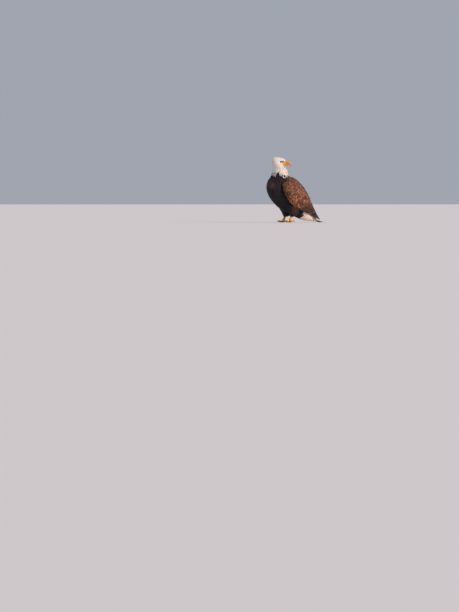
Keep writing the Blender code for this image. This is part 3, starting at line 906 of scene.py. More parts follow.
@dataclass(frozen=True)
class ScaleFinish:
    """Yellow leg skin: plates in front, small round scales elsewhere, and painted shade in the creases."""

    light: Colour = (0.82, 0.39, 0.008)
    stained: Colour = (0.70, 0.36, 0.03)
    # the painted shade's colour, in the creases between plates and scales
    crease: Colour = (0.36, 0.13, 0.008)
    scales: float = 620.0

    def make(self) -> Material:
        """The material, which reads how far a point is into a crease between plates, and paints shade there.
        """
        g = Graph("yellow_scales")
        # painted shade between the small scales and in the plates' creases
        small = g.eased(g.cells(g.place(), self.scales), 0.35, 0.75) * (1.0 - g.value("plate"))
        deep = g.value("crease").at_least(small * 0.8)
        stain = g.eased(g.noise(g.place(), 90.0, 3.0), 0.45, 0.75)
        colour = g.mix(stain * 0.35, self.light, self.stained)
        g.set(base_color=g.mix(deep * 0.75, colour, self.crease), roughness=0.48)
        g.set(specular_ior_level=0.45, subsurface_weight=0.08, subsurface_scale=0.002)
        g.bump(1.0 - deep, 0.6, 0.0005)
        return g.material


@dataclass(frozen=True)
class BillFinish:
    """Bill horn with fine growth lines, and the softer, yellower cere at its root."""

    horn: Colour = (0.69, 0.215, 0.006)
    deep: Colour = (0.44, 0.090, 0.006)
    cere: Colour = (0.69, 0.365, 0.018)
    stained: Colour = (0.45, 0.20, 0.02)
    # painted shade in the nostrils' pits
    dark: Colour = (0.05, 0.03, 0.02)
    streaks: float = 60.0
    clouds: float = 70.0

    def make(self) -> Material:
        """The material, which reads the cere's share, the tip's share and the nostril's depth, where it
        paints shade.
        """
        g = Graph("bill_horn")
        streak = g.noise(g.vector(g.value("ring") * self.streaks, g.value("around")), 1.0, 3.0)
        cloud = g.noise(g.place(), self.clouds, 3.0)
        horn = g.mix(g.value("tip") * 0.8, self.horn, self.deep)
        horn = g.mix(g.eased(streak, 0.4, 0.7) * 0.22, horn, self.deep)
        colour = g.mix(g.value("cere"), horn, self.cere)
        colour = g.mix(g.eased(cloud, 0.45, 0.8) * 0.18, colour, self.stained)
        # painted shade: the nostrils' pits turn dark
        g.set(base_color=g.mix(g.value("hollow"), colour, self.dark), roughness=0.34)
        g.set(coat_weight=0.15, coat_roughness=0.25, subsurface_weight=0.06, subsurface_scale=0.003)
        g.bump(streak + cloud * 0.6, 0.18, 0.0004)
        return g.material


@dataclass(frozen=True)
class ClawFinish:
    """Black horn, greyer and worn at its root, with fine lines along it."""

    black: Colour = (0.018, 0.016, 0.016)
    grey: Colour = (0.085, 0.075, 0.066)
    lines: float = 9.0

    def make(self) -> Material:
        """The material, which reads the share along the claw."""
        g = Graph("claw_horn")
        line = g.noise(g.vector(g.value("around") * self.lines, g.value("ring")), 1.0)
        root = 1.0 - g.eased(g.value("ring"), 0.0, 0.3)
        g.set(base_color=g.mix(root * g.eased(line, 0.3, 0.7), self.black, self.grey))
        g.set(roughness=0.30, coat_weight=0.2, coat_roughness=0.2)
        g.bump(line, 0.25, 0.0003)
        return g.material


@dataclass(frozen=True)
class EyeFinish:
    """A pale yellow iris with fine rays and a dark rim, a black pupil, and a wet cornea over all."""

    iris: Colour = (0.78, 0.62, 0.20)
    inner: Colour = (0.55, 0.36, 0.07)
    dark: Colour = (0.03, 0.022, 0.015)
    black: Colour = (0.004, 0.004, 0.004)
    pupil: float = 0.24  # radians off the eye's axis
    rim: float = 0.66
    rays: float = 40.0

    def make(self) -> Material:
        """The material, which reads the angle off the eye's axis and the angle round it."""
        g = Graph("eye")
        off = g.value("off_axis")
        ray = g.noise(g.vector(g.value("around") * self.rays, off * 3.0), 1.0, 3.0)
        iris = g.mix(g.eased(off, self.pupil, self.pupil + 0.25), self.inner, self.iris)
        iris = g.mix(g.eased(ray, 0.4, 0.75) * 0.4, iris, self.inner)
        iris = g.mix(g.eased(off, self.rim - 0.10, self.rim), iris, self.dark)
        colour = g.mix(g.eased(off, self.pupil - 0.02, self.pupil + 0.02), self.black, iris)
        g.set(base_color=colour, roughness=0.12, coat_weight=1.0, coat_roughness=0.02)
        g.bump(ray, 0.05, 0.0002)
        return g.material


# each has its name, then the colours base, main, other, edge and shaft; the first is painted shade at the
# hidden root
WHITE = VaneFinish(
    "white_vanes", (0.68, 0.64, 0.58), (0.84, 0.81, 0.76), (0.46, 0.41, 0.30), (0.90, 0.88, 0.85),
    (0.72, 0.66, 0.57), edge_share=0.5, edge_from=0.5, shaft_width=0.16, barbs=26.0, uneven=0.07,
    roughness=0.7, sheen=0.25,
)
CREAM = VaneFinish(
    "cream_vanes", (0.64, 0.56, 0.45), (0.84, 0.755, 0.65), (0.46, 0.41, 0.30), (0.89, 0.83, 0.75),
    (0.70, 0.60, 0.46), edge_share=0.5, edge_from=0.5, shaft_width=0.16, barbs=26.0, uneven=0.09,
    roughness=0.7, sheen=0.25,
)
DARK = VaneFinish(
    "dark_vanes", (0.007, 0.0055, 0.007), (0.0120, 0.0094, 0.0140), (0.108, 0.050, 0.037),
    (0.044, 0.029, 0.031), (0.009, 0.007, 0.008), edge_share=0.50, edge_from=0.62, shaft_width=0.10,
    barbs=34.0, uneven=0.30, roughness=0.6, sheen=0.05,
)
BROWN = VaneFinish(
    "brown_vanes", (0.022, 0.011, 0.009), (0.062, 0.024, 0.019), (0.165, 0.061, 0.029), (0.55, 0.245, 0.105),
    (0.024, 0.012, 0.008), edge_share=0.80, edge_from=0.58, shaft_width=0.10, barbs=34.0, uneven=0.38,
    roughness=0.58, sheen=0.06, patches=1.1,
)
FLIGHT = VaneFinish(
    "flight_vanes", (0.011, 0.008, 0.008), (0.0190, 0.0125, 0.0135), (0.082, 0.034, 0.021),
    (0.24, 0.110, 0.055), (0.012, 0.008, 0.007), edge_share=0.55, edge_from=0.68, shaft_width=0.05,
    barbs=120.0, uneven=0.28, roughness=0.5, sheen=0.05,
)
TAIL = VaneFinish(
    "tail_vanes", (0.74, 0.70, 0.64), (0.82, 0.76, 0.67), (0.60, 0.50, 0.36), (0.36, 0.21, 0.095),
    (0.58, 0.49, 0.36), edge_share=0.65, edge_from=0.76, shaft_width=0.045, barbs=150.0, uneven=0.07,
    roughness=0.6, sheen=0.2,
)


# ---------------- feathers


@dataclass(frozen=True)
class Vane:
    """A feather's cut, and the rows and columns of its mesh.

    Its width along its length is (root + (1 - root) ease(a / 0.3)) times (1 - fall^blunt)^taper, where fall
    goes from 0 at the widest place to 1 at the tip.
    """

    rows: int
    columns: int
    root: float
    widest: float
    blunt: float
    taper: float
    thick: float = 0.0004
    camber: float = 0.16
    rise: float = 0.9
    tilt: float = 0.0

    def places(self) -> Array:
        """Shares of the length at which the rows stand, closer towards the tip."""
        return np.sin(np.linspace(0, 1, self.rows) * math.pi / 2) ** 0.92

    def width(self, along: Array) -> Array:
        """Share of the greatest width."""
        fall = np.clip((along - self.widest) / (1 - self.widest), 0, 1)
        full = np.maximum(1 - fall**self.blunt, 0) ** self.taper
        return np.maximum((self.root + (1 - self.root) * eased(along, 0.0, 0.3)) * full, 0.05)


# rows, columns, root, widest, blunt, taper, thick, camber, rise, tilt
TINY = Vane(4, 3, 0.5, 0.45, 1.8, 0.7, 0.0002, 0.30)
HACKLE = Vane(6, 3, 0.45, 0.35, 1.5, 0.9, 0.0003, 0.40)
BODY_VANE = Vane(7, 5, 0.5, 0.50, 2.0, 0.70, 0.0004, 0.26)
DROOP = Vane(7, 5, 0.45, 0.45, 1.8, 0.75, 0.0004, 0.30)
COVERT = Vane(8, 5, 0.6, 0.60, 2.2, 0.58, 0.0004, 0.16)
FLIGHT_VANE = Vane(22, 7, 0.75, 0.84, 2.2, 0.5, 0.0006, 0.06, 0.8, 0.10)
PRIMARY_VANE = Vane(24, 7, 0.75, 0.72, 2.4, 0.6, 0.0007, 0.08, 0.8, 0.10)
TAIL_VANE = Vane(26, 9, 0.65, 0.90, 2.0, 0.6, 0.0006, 0.05, 1.0)


@dataclass
class Roots:
    """Where feathers are rooted on a form, and each one's size, turn and lift."""

    s: Array
    t: Array
    length: Array
    half: Array
    yaw: Array
    lift: Array
    tint: Array
    shade: Array

    def kept(self, keep: Array) -> "Roots":
        """Only the feathers where keep is true."""
        return Roots(*(getattr(self, name)[keep] for name in self.__dataclass_fields__))


@dataclass(frozen=True)
class Tract:
    """A band of like feathers in staggered rows: its ends, the gap between rows, and between neighbours."""

    s_from: float
    s_to: float
    gap: float
    apart: float
    length: float
    half: float
    vane: Vane
    t_from: float = 0.0
    t_to: float = 1.0
    lift: float = 0.0004
    yaw: float = 5.0
    shade: float = 0.0

    def roots(self, form: Form, rng: np.random.Generator) -> Roots:
        """Sets feathers out in columns, evenly by length along each.

        Args:
            form: The surface.
            rng: Random numbers for small differences.

        Returns:
            The roots.
        """
        across = np.linspace(self.t_from, self.t_to, 81)
        middle = np.full(81, (self.s_from + self.s_to) / 2)
        stretch = form.frame_at(middle, across).metre_t
        girth = np.concatenate([[0], np.cumsum((stretch[1:] + stretch[:-1]) / 2 * np.diff(across))])
        columns = max(2, round(girth[-1] / self.apart))
        t_columns = np.interp((np.arange(columns) + 0.5) / columns * girth[-1], girth, across)
        fine = np.linspace(self.s_from, self.s_to, 41)
        steps = np.linalg.norm(np.diff(form.at(fine[:, None], t_columns[None]), axis=0), axis=-1)
        walked = np.concatenate([np.zeros((1, columns)), np.cumsum(steps, axis=0)])
        found_s, found_t = [], []
        for j, t in enumerate(t_columns):
            way = walked[:, j]
            count = int(way[-1] / self.gap + 0.5)
            stops = (np.arange(count) + 0.25 + 0.5 * (j % 2)) * self.gap
            found_s.append(np.interp(stops, way, fine))
            found_t.append(np.full(count, t))
        s, t = np.concatenate(found_s), np.concatenate(found_t)
        n = len(s)
        _, _, metre_s, metre_t = form.frame_at(s, t)
        s = s + rng.normal(0, 0.12, n) * self.gap / metre_s
        t = t + rng.normal(0, 0.10, n) * self.apart / metre_t
        return Roots(
            s,
            t,
            self.length * rng.uniform(0.88, 1.12, n),
            self.half * rng.uniform(0.9, 1.1, n),
            np.radians(rng.normal(0, self.yaw, n)),
            self.lift * rng.uniform(-0.4, 1.6, n),
            rng.uniform(0, 1, n),
            np.full(n, self.shade),
        )


def vane_faces(vane: Vane, outward: float) -> tuple[Array, Array]:
    """The faces of one feather, and which of its points are on its rim.

    The two faces of a feather share the points of its rim, so it is closed. The top's points come first, row
    by row, and then the inner points of the under face.

    Args:
        vane: The feather's cut.
        outward: The form's way, so that the top faces out.

    Returns:
        Quads, and True for each rim point.
    """
    rows, columns = vane.rows, vane.columns
    r, c = np.meshgrid(np.arange(rows), np.arange(columns), indexing="ij")
    top = r * columns + c
    inner = (r > 0) & (r < rows - 1) & (c > 0) & (c < columns - 1)
    under = top.copy()
    under[inner] = rows * columns + np.arange(inner.sum())

    def quads(index: Array) -> Array:
        """A grid's quads, wound along and then across."""
        parts = (index[:-1, :-1], index[1:, :-1], index[1:, 1:], index[:-1, 1:])
        return np.stack(parts, -1).reshape(-1, 4)

    faces = np.concatenate([quads(top), quads(under)[:, ::-1]])
    rim = np.concatenate([~inner.ravel(), np.zeros(inner.sum(), bool)])
    return (faces if outward > 0 else faces[:, ::-1]), rim


def lay_feathers(form: Form, roots: Roots, vane: Vane, sunk: float = 0.85) -> tuple[Shell, Array]:
    """Lays feathers on a form, each bent to it and rising from the skin at its root to the form at its tip.

    A feather's middle line starts at its root and steps along the form in metres, turned by its yaw. Its
    height below the form is depth times sunk times (1 - along^rise), less its lift at the tip. Its edges drop
    with the square of the distance from its shaft, and where it is tilted one edge lies on its neighbour.

    Args:
        form: The surface that the tips come up to.
        roots: Where they start, and their sizes.
        vane: Their cut.
        sunk: How far down the coat's depth the roots are.

    Returns:
        One shell of them all, and True for each rim point.
    """
    along = vane.places()
    count, rows, columns = len(roots.s), vane.rows, vane.columns
    s_line, t_line = np.empty((count, rows)), np.empty((count, rows))
    s, t = roots.s.copy(), roots.t.copy()
    for k in range(rows):
        if k:
            _, _, metre_s, metre_t = form.frame_at(s, t)
            step = (along[k] - along[k - 1]) * roots.length
            s = s + step * np.cos(roots.yaw) / metre_s
            t = t + step * np.sin(roots.yaw) / metre_t
        s_line[:, k], t_line[:, k] = s, t
    metre_t = form.frame_at(s_line, t_line).metre_t
    off = np.linspace(-1, 1, columns)
    spread = vane.width(along)[:, None] * off
    t_grid = t_line[..., None] + spread * (roots.half[:, None] / metre_t)[..., None]
    s_grid = np.broadcast_to(s_line[..., None], t_grid.shape)
    point, normal, _, _ = form.frame_at(s_grid, t_grid)
    share = along[None, :, None]
    height = -form.depth(s_grid) * sunk * (1 - share**vane.rise)
    height = height + roots.lift[:, None, None] * share**2
    height = height + roots.half[:, None, None] * (vane.tilt * spread - vane.camber * spread**2)
    body = vane.thick * (1 - off**2) * (1 - 0.8 * share**3)
    middle = point + normal * height[..., None]
    inner = (slice(None), slice(1, -1), slice(1, -1))
    top = (middle + normal * (body / 2)[..., None]).reshape(count, -1, 3)
    under = (middle - normal * (body / 2)[..., None])[inner].reshape(count, -1, 3)
    points = np.concatenate([top, under], axis=1)
    faces, rim = vane_faces(vane, form.outward)
    each = points.shape[1]
    quads = (faces[None] + (np.arange(count) * each)[:, None, None]).reshape(-1, 4)
    grid_a, grid_b = np.meshgrid(along, off, indexing="ij")
    cut = np.stack([grid_a, (grid_b + 1) / 2], -1)
    cut = np.concatenate([cut.reshape(-1, 2), cut[1:-1, 1:-1].reshape(-1, 2)])
    maps = {"vane": np.tile(cut, (count, 1)), "OFBake": bake_places(form, roots, cut)}
    values = {"tint": np.repeat(roots.tint, each), "shade": np.repeat(roots.shade, each)}
    return Shell(points.reshape(-1, 3), quads, values=values, maps=maps), np.tile(rim, count)


BAKE_PATCH = 0.003
BAKE_MARGIN = 0.01


def bake_places(form: Form, roots: Roots, cut: Array) -> Array:
    """Each feather as a small patch at its root's place on the form's own unwrap by s and t.

    Args:
        form: The form that the feathers grow from.
        roots: Their roots.
        cut: Each point's place on a feather, 0 to 1 both ways.

    Returns:
        A place for each point of each feather.
    """
    low, high = form.s_span
    s = np.clip((roots.s - low) / (high - low), 0, 1)
    t = np.mod(roots.t, 1.0) if form.round_about else np.clip((roots.t + 1) / 2, 0, 1)
    room = 1 - 2 * BAKE_MARGIN
    root = BAKE_MARGIN + room * np.stack([t, s], -1)
    return (root[:, None] + (cut[None, :, ::-1] - 0.5) * BAKE_PATCH).reshape(-1, 2)


@dataclass
class Coat:
    """One piece of the coat: feathers of one finish, gathered tract by tract."""

    name: str
    finish: Material
    slot: str
    shells: list[Shell] = field(default_factory=list)
    rims: list[Array] = field(default_factory=list)

    def lay(self, form: Form, roots: Roots, vane: Vane, sunk: float = 0.85) -> None:
        """Adds feathers."""
        if len(roots.s):
            shell, rim = lay_feathers(form, roots, vane, sunk)
            self.shells.append(shell)
            self.rims.append(rim)

    def make(self) -> bpy.types.Object:
        """Makes the piece from what was gathered."""
        whole, _ = Shell.joined(self.shells)
        piece = piece_from(self.name, whole, [self.finish], rim=np.concatenate(self.rims))
        return piece


@dataclass
class Cover:
    """Dense points of a form, to tell which roots lie under it or inside it."""

    points: Array
    normals: Array
    rim: Array

    @staticmethod
    def of(form: Form, s: Pair, t: Pair, count: int = 70) -> "Cover":
        """Samples a range of a form.

        Args:
            form: The form.
            s: From and to, along it.
            t: From and to, across it.
            count: Points each way.

        Returns:
            The cover.
        """
        grid = np.meshgrid(np.linspace(*s, count), np.linspace(*t, count), indexing="ij")
        point, normal, _, _ = form.frame_at(grid[0].ravel(), grid[1].ravel())
        rim = (grid[0] == s[0]) | (grid[0] == s[1])
        if not form.round_about:
            rim |= (grid[1] == t[0]) | (grid[1] == t[1])
        return Cover(point, normal, rim.ravel())

    def outside(self, points: Array) -> tuple[Array, Array]:
        """How far points stand out from the form, and how far beyond its rim they are sideways.

        Args:
            points: Places near the form.

        Returns:
            Both distances of each point, the second 0 where it isn't beyond the rim.
        """
        out, away = [], []
        for some in np.array_split(points, max(1, len(points) // 200)):
            gap = some[:, None] - self.points[None]
            nearest = (gap**2).sum(-1).argmin(1)
            here = gap[np.arange(len(some)), nearest]
            high = (here * self.normals[nearest]).sum(-1)
            out.append(high)
            away.append(np.sqrt(np.maximum((here**2).sum(-1) - high**2, 0)) * self.rim[nearest])
        return np.concatenate(out), np.concatenate(away)


# ---------------- head


EYE_AXIS_FORWARD, EYE_AXIS_UP = math.radians(18), 0.04


def eye_directions(side: Side) -> Array:
    """The eye's axis, up and forward directions, as rows in head distances.

    Args:
        side: Which eye.

    Returns:
        Three rows, each one long.
    """
    axis = np.array((math.sin(EYE_AXIS_FORWARD), EYE_AXIS_UP, math.cos(EYE_AXIS_FORWARD) * side.value))
    axis /= np.linalg.norm(axis)
    up = np.array((0.0, 1.0, 0.0)) - axis * axis[1]
    up /= np.linalg.norm(up)
    forward = np.cross(up, axis)
    return np.stack([axis, up, forward if forward[0] > 0 else -forward])


def eye_points(side: Side, off_axis: Array, around: Array, radius: Array) -> Array:
    """Points round the eye's middle.

    Args:
        side: Which eye.
        off_axis: Angle off the eye's axis.
        around: Angle round the axis, from forward.
        radius: Distance from the middle.

    Returns:
        Points in the row frame.
    """
    axis, up, forward = eye_directions(side)
    off_axis, around, radius = (a[..., None] for a in np.broadcast_arrays(off_axis, around, radius))
    ring = forward * np.cos(around) + up * np.sin(around)
    rows = (axis * np.cos(off_axis) + ring * np.sin(off_axis)) * radius
    return on_head(rows + np.array((EYE_FORE, EYE_UP, EYE_SIDE * side.value)))


def swept(path: Array, radii: Array, segments: int, flat: float = 1.0) -> Array:
    """Rings of points round a path, square to it: side r sin a and rise r flat cos a at angle a.

    Args:
        path: Points to follow.
        radii: The rings' radii, or rows of them for each angle.
        segments: Points in a ring.
        flat: Height of a ring in its width.

    Returns:
        Rows by segments by 3.
    """
    ahead = unit(np.gradient(path, axis=0))
    side = unit(np.cross(ahead, (0.0, 0.0, 1.0)))
    rise = np.cross(side, ahead)
    around = np.arange(segments) * 2 * math.pi / segments
    radii = np.broadcast_to(np.asarray(radii).reshape(len(path), -1), (len(path), segments))
    wide, high = radii * np.sin(around), radii * flat * np.cos(around)
    return path[:, None] + side[:, None] * wide[..., None] + rise[:, None] * high[..., None]


def wrapped(grid: Array, **rest: object) -> Shell:
    """A closed shell from a grid that joins itself both ways, such as a ring's.

    Args:
        grid: Rows by columns by 3.
        rest: Other fields of the shell.

    Returns:
        The shell.
    """
    rows, columns = grid.shape[:2]
    number = np.arange(rows * columns).reshape(rows, columns)
    below = np.roll(number, -1, axis=0)
    corners = (number, np.roll(number, -1, axis=1), np.roll(below, -1, axis=1), below)
    return outwards(Shell(grid.reshape(-1, 3), np.stack(corners, -1).reshape(-1, 4), **rest))


@dataclass
class Bill:
    """Both halves of the bill: the same stations as the model's, finer, with a cere and nostrils."""

    upper: tuple = (
        (0.0300, 0.5660, 0.0220, MOUTH_UP, 0.0150),
        (0.0440, 0.5695, 0.0400, MOUTH_UP, 0.0150),
        (0.0570, 0.5712, 0.0560, MOUTH_UP, 0.0138),
        (0.0700, 0.5708, 0.0700, MOUTH_UP, 0.0126),
        (0.0830, 0.5674, 0.0815, MOUTH_UP, 0.0110),
        (0.0950, 0.5600, 0.0895, MOUTH_UP, 0.0092),
        (0.1030, 0.5490, 0.0935, 0.5380, 0.0072),
        (0.1060, 0.5370, 0.0962, 0.5322, 0.0048),
        (0.1045, 0.5280, 0.0990, 0.5260, 0.0027),
        (0.1020, 0.5215, 0.1005, 0.5212, 0.0008),
    )
    lower: tuple = (
        (0.0220, 0.5385, 0.0260, 0.5255, 0.0130),
        (0.0420, 0.5385, 0.0430, 0.5265, 0.0126),
        (0.0600, 0.5385, 0.0600, 0.5287, 0.0110),
        (0.0760, 0.5385, 0.0750, 0.5312, 0.0086),
        (0.0890, 0.5378, 0.0870, 0.5340, 0.0050),
    )
    square: float = 0.4  # the flat side's power of sine
    segments: int = 48
    upper_rows: int = 110
    lower_rows: int = 50
    cere_end: float = 2.35
    lower_cere_end: float = 1.7
    upper_tip: float = 5.0
    lower_tip: float = 3.6
    cere_swell: float = 0.035
    cere_groove: float = 0.03
    nostril: tuple = (0.0555, 0.5600, 0.0125)
    nostril_reach: tuple = (0.0040, 0.0024, 0.0042)
    nostril_depth: float = 0.0030

    def half_shell(
        self, stations: tuple, rows: int, square_under: bool, cere_end: float, tip_from: float
    ) -> Shell:
        """One half of the bill: ellipses round stations, with one side flattened.

        A ring's point at angle a is top + (under - top)(1 - cos a)/2 in the side view, and half width times
        sin a to the side. On the flat side sin a is raised to the power 0.4.

        Args:
            stations: Its cross-sections.
            rows: How many rings.
            square_under: Whether its under side is the flat one.
            cere_end: Station where the cere ends.
            tip_from: Station where the tip's colour starts.

        Returns:
            A closed shell.
        """
        s = np.linspace(0, len(stations) - 1, rows)[:, None]
        row = np.moveaxis(smooth_values(stations, s), -1, 0)
        around = np.arange(self.segments) * 2 * math.pi / self.segments
        drop = (1 - np.cos(around)) / 2
        fore = row[0] + (row[2] - row[0]) * drop
        up = row[1] + (row[3] - row[1]) * drop
        power = np.where((drop > 0.5) == square_under, self.square, 1.0)
        bulge = 1 + self.cere_swell * (1 - eased(s, cere_end - 0.25, cere_end))
        bulge = bulge - self.cere_groove * np.exp(-(((s - cere_end) / 0.12) ** 2))
        side = row[4] * np.sign(np.sin(around)) * np.abs(np.sin(around)) ** power * bulge
        rows_of_head = np.stack([fore, up, side], -1)
        # how far into a nostril's pit each point is, for the painted shade there
        hollow = np.zeros(side.shape)
        if square_under:
            for sign in (-1, 1):
                far = (rows_of_head - np.array(self.nostril) * (1, 1, sign)) / np.array(self.nostril_reach)
                pit = np.exp(-((far**2).sum(-1) ** 2))
                hollow = np.maximum(hollow, pit)
                rows_of_head[..., 2] -= sign * self.nostril_depth * pit
        values = {
            "cere": np.broadcast_to(1 - eased(s, cere_end - 0.06, cere_end + 0.10), side.shape),
            "tip": np.broadcast_to(eased(s, tip_from, len(stations) - 1), side.shape),
            "ring": np.broadcast_to(s / (len(stations) - 1), side.shape),
            "around": np.broadcast_to(np.sin(around) * 2, side.shape),
            "hollow": eased(hollow, 0.35, 0.8),
        }
        return tube(on_head(rows_of_head), values=values)

    def build(self) -> None:
        """Makes the two halves and stands them in for the model's."""
        finish = BillFinish().make()
        upper = self.half_shell(self.upper, self.upper_rows, True, self.cere_end, self.upper_tip)
        lower = self.half_shell(self.lower, self.lower_rows, False, self.lower_cere_end, self.lower_tip)
        for name, shell in (("bill_upper_horn", upper), ("bill_lower_horn", lower)):
            piece = piece_from(name, shell, [finish])
            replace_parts(piece, name.removesuffix("_horn"))


@dataclass
class Eye:
    """An eyeball with a raised cornea."""

    side: Side
    rows: int = 48
    segments: int = 64
    cornea: float = 0.05  # how far it stands out, in the eye's radius
    cornea_reach: float = 0.5

    def build(self, finish: Material) -> None:
        """Makes the eye and stands it in for the model's.

        Args:
            finish: The eye's material.
        """
        off = np.linspace(0.02, math.pi - 0.05, self.rows)[:, None]
        around = np.arange(self.segments) * 2 * math.pi / self.segments
        radius = EYE_RADIUS * (1 + self.cornea * np.exp(-((off / self.cornea_reach) ** 2))) + 0 * around
        values = {
            "off_axis": off + 0 * around,
            "around": np.abs(around / math.pi - 1) + 0 * off,
        }
        shell = tube(eye_points(self.side, off, around, radius), values=values)
        piece = piece_from(f"eyeball_{self.side.word}", shell, [finish])
        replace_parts(piece, f"eye_{self.side.word}")


@dataclass
class Face:
    """Lids, brow ridges and the yellow corners of the mouth, all parts of the skin."""

    body: BodyForm
    lid_rows: int = 72
    lid_section: tuple = (
        # share of the way from the opening back, height over the eyeball
        (0.0, -0.0002),
        (0.05, 0.0009),
        (0.14, 0.0014),
        (0.26, 0.0011),
        (0.45, 0.0009),
        (0.7, 0.0010),
        (1.0, 0.0004),
        (1.0, -0.0012),
        (0.5, -0.0012),
        (0.1, -0.0012),
    )
    brow: tuple = (
        # fore, up, how far it stands out, radius
        (0.0440, 0.5655, -0.0004, 0.0010),
        (0.0370, 0.5664, 0.0006, 0.0019),
        (0.0280, 0.5677, 0.0014, 0.0025),
        (0.0180, 0.5692, 0.0014, 0.0026),
        (0.0090, 0.5702, -0.0006, 0.0021),
        (0.0020, 0.5700, -0.0030, 0.0012),
    )
    gape: tuple = (
        # fore, up, side distance, radius
        (0.0640, 0.5388, 0.0072, 0.0009),
        (0.0570, 0.5388, 0.0098, 0.0012),
        (0.0500, 0.5387, 0.0116, 0.0014),
        (0.0445, 0.5385, 0.0134, 0.0015),
        (0.0412, 0.5382, 0.0163, 0.0016),
        (0.0390, 0.5378, 0.0213, 0.0016),
        (0.0366, 0.5374, 0.0274, 0.0016),
        (0.0332, 0.5369, 0.0324, 0.0015),
        (0.0290, 0.5363, 0.0360, 0.0012),
        (0.0240, 0.5356, 0.0392, 0.0006),
    )

    def __post_init__(self) -> None:
        """Keeps a dense set of the head's points to read its width from."""
        self.rows = head_distances(self.body.net((0, 5), 160, 360))

    def width_at(self, fore: Array, up: Array, side: Side) -> Array:
        """The head's side distance at places in its side view, from the four nearest points.

        Args:
            fore: Distances ahead of the neck's axis.
            up: Heights.
            side: Which side of the face.

        Returns:
            The side distance at each place.
        """
        mine = self.rows[self.rows[:, 2] * side.value > 0.004]
        found = []
        for f, u in zip(np.ravel(fore), np.ravel(up)):
            far = (mine[:, 0] - f) ** 2 + (mine[:, 1] - u) ** 2
            near = np.argpartition(far, 4)[:4]
            weight = 1 / (far[near] + 1e-9)
            found.append((mine[near, 2] * weight).sum() / weight.sum())
        return np.array(found)

    def ridge(self, table: tuple, side: Side, bare: float, flat: float, on_form: bool) -> Shell:
        """A tapered ridge of skin along the face.

        Args:
            table: Rows of fore, up, standing out or side distance, and radius.
            side: Which side of the face.
            bare: How much it has of the dark colour of unfeathered skin and painted shade.
            flat: Its height in its width.
            on_form: True where the third number is how far it stands out from the head.

        Returns:
            A closed shell.
        """
        line = smooth_values(table, np.linspace(0, len(table) - 1, 48))
        across = side.value * line[:, 2]
        if on_form:
            across += self.width_at(line[:, 0], line[:, 1], side)
        path = on_head(np.stack([line[:, 0], line[:, 1], across], -1))
        grid = swept(path, line[:, 3], 14, flat)
        values = {"bare": np.full(grid.shape[:2], bare), "white": np.zeros(grid.shape[:2])}
        return tube(grid, values=values)

    def lids(self, side: Side) -> Shell:
        """A ring of skin on the eyeball: its opening is narrower above, with a rounded margin.

        Args:
            side: Which eye's.

        Returns:
            A closed ring.
        """
        around = (np.arange(self.lid_rows) * 2 * math.pi / self.lid_rows)[:, None]
        opening = np.radians(34 + 4 * np.cos(around) ** 2 - 9 * np.maximum(np.sin(around), 0) ** 1.5)
        share, height = np.array(self.lid_section).T
        off = opening + (math.radians(86) - opening) * share
        crease = 0.0002 * np.cos(share * 24 + 0.5 * np.sin(around * 2)) * (share > 0.2) * (height > 0)
        grid = eye_points(side, off, around, EYE_RADIUS + height + crease)
        flat = np.ones(grid.shape[:2])
        # the lids take the dark colour of unfeathered skin with painted shade
        return wrapped(grid, values={"bare": flat.ravel(), "white": 0 * flat.ravel()})

    def shells(self) -> list[Shell]:
        """Both sides' lids, brows and mouth corners."""
        made = []
        for side in Side:
            made.append(self.lids(side))
            # the brows take most of the dark colour of unfeathered skin and painted shade
            made.append(self.ridge(self.brow, side, 0.8, 0.8, True))
            lips = self.ridge(self.gape, side, 1.0, 1.3, False)
            lips.values["lip"] = np.ones(len(lips.points))
            made.append(lips)
        return made


# ---------------- legs


@dataclass(frozen=True)
class Toe:
    """A toe: degrees outwards from straight ahead, its length, and its claw's length and bend."""

    name: str
    outwards: float
    length: float
    claw_length: float
    claw_radius: float


TOES = (
    Toe("inner", -32, 0.046, 0.036, 0.0225),
    Toe("middle", 4, 0.062, 0.031, 0.0195),
    Toe("outer", 42, 0.048, 0.026, 0.0165),
    Toe("hind", 172, 0.034, 0.039, 0.0245),
)


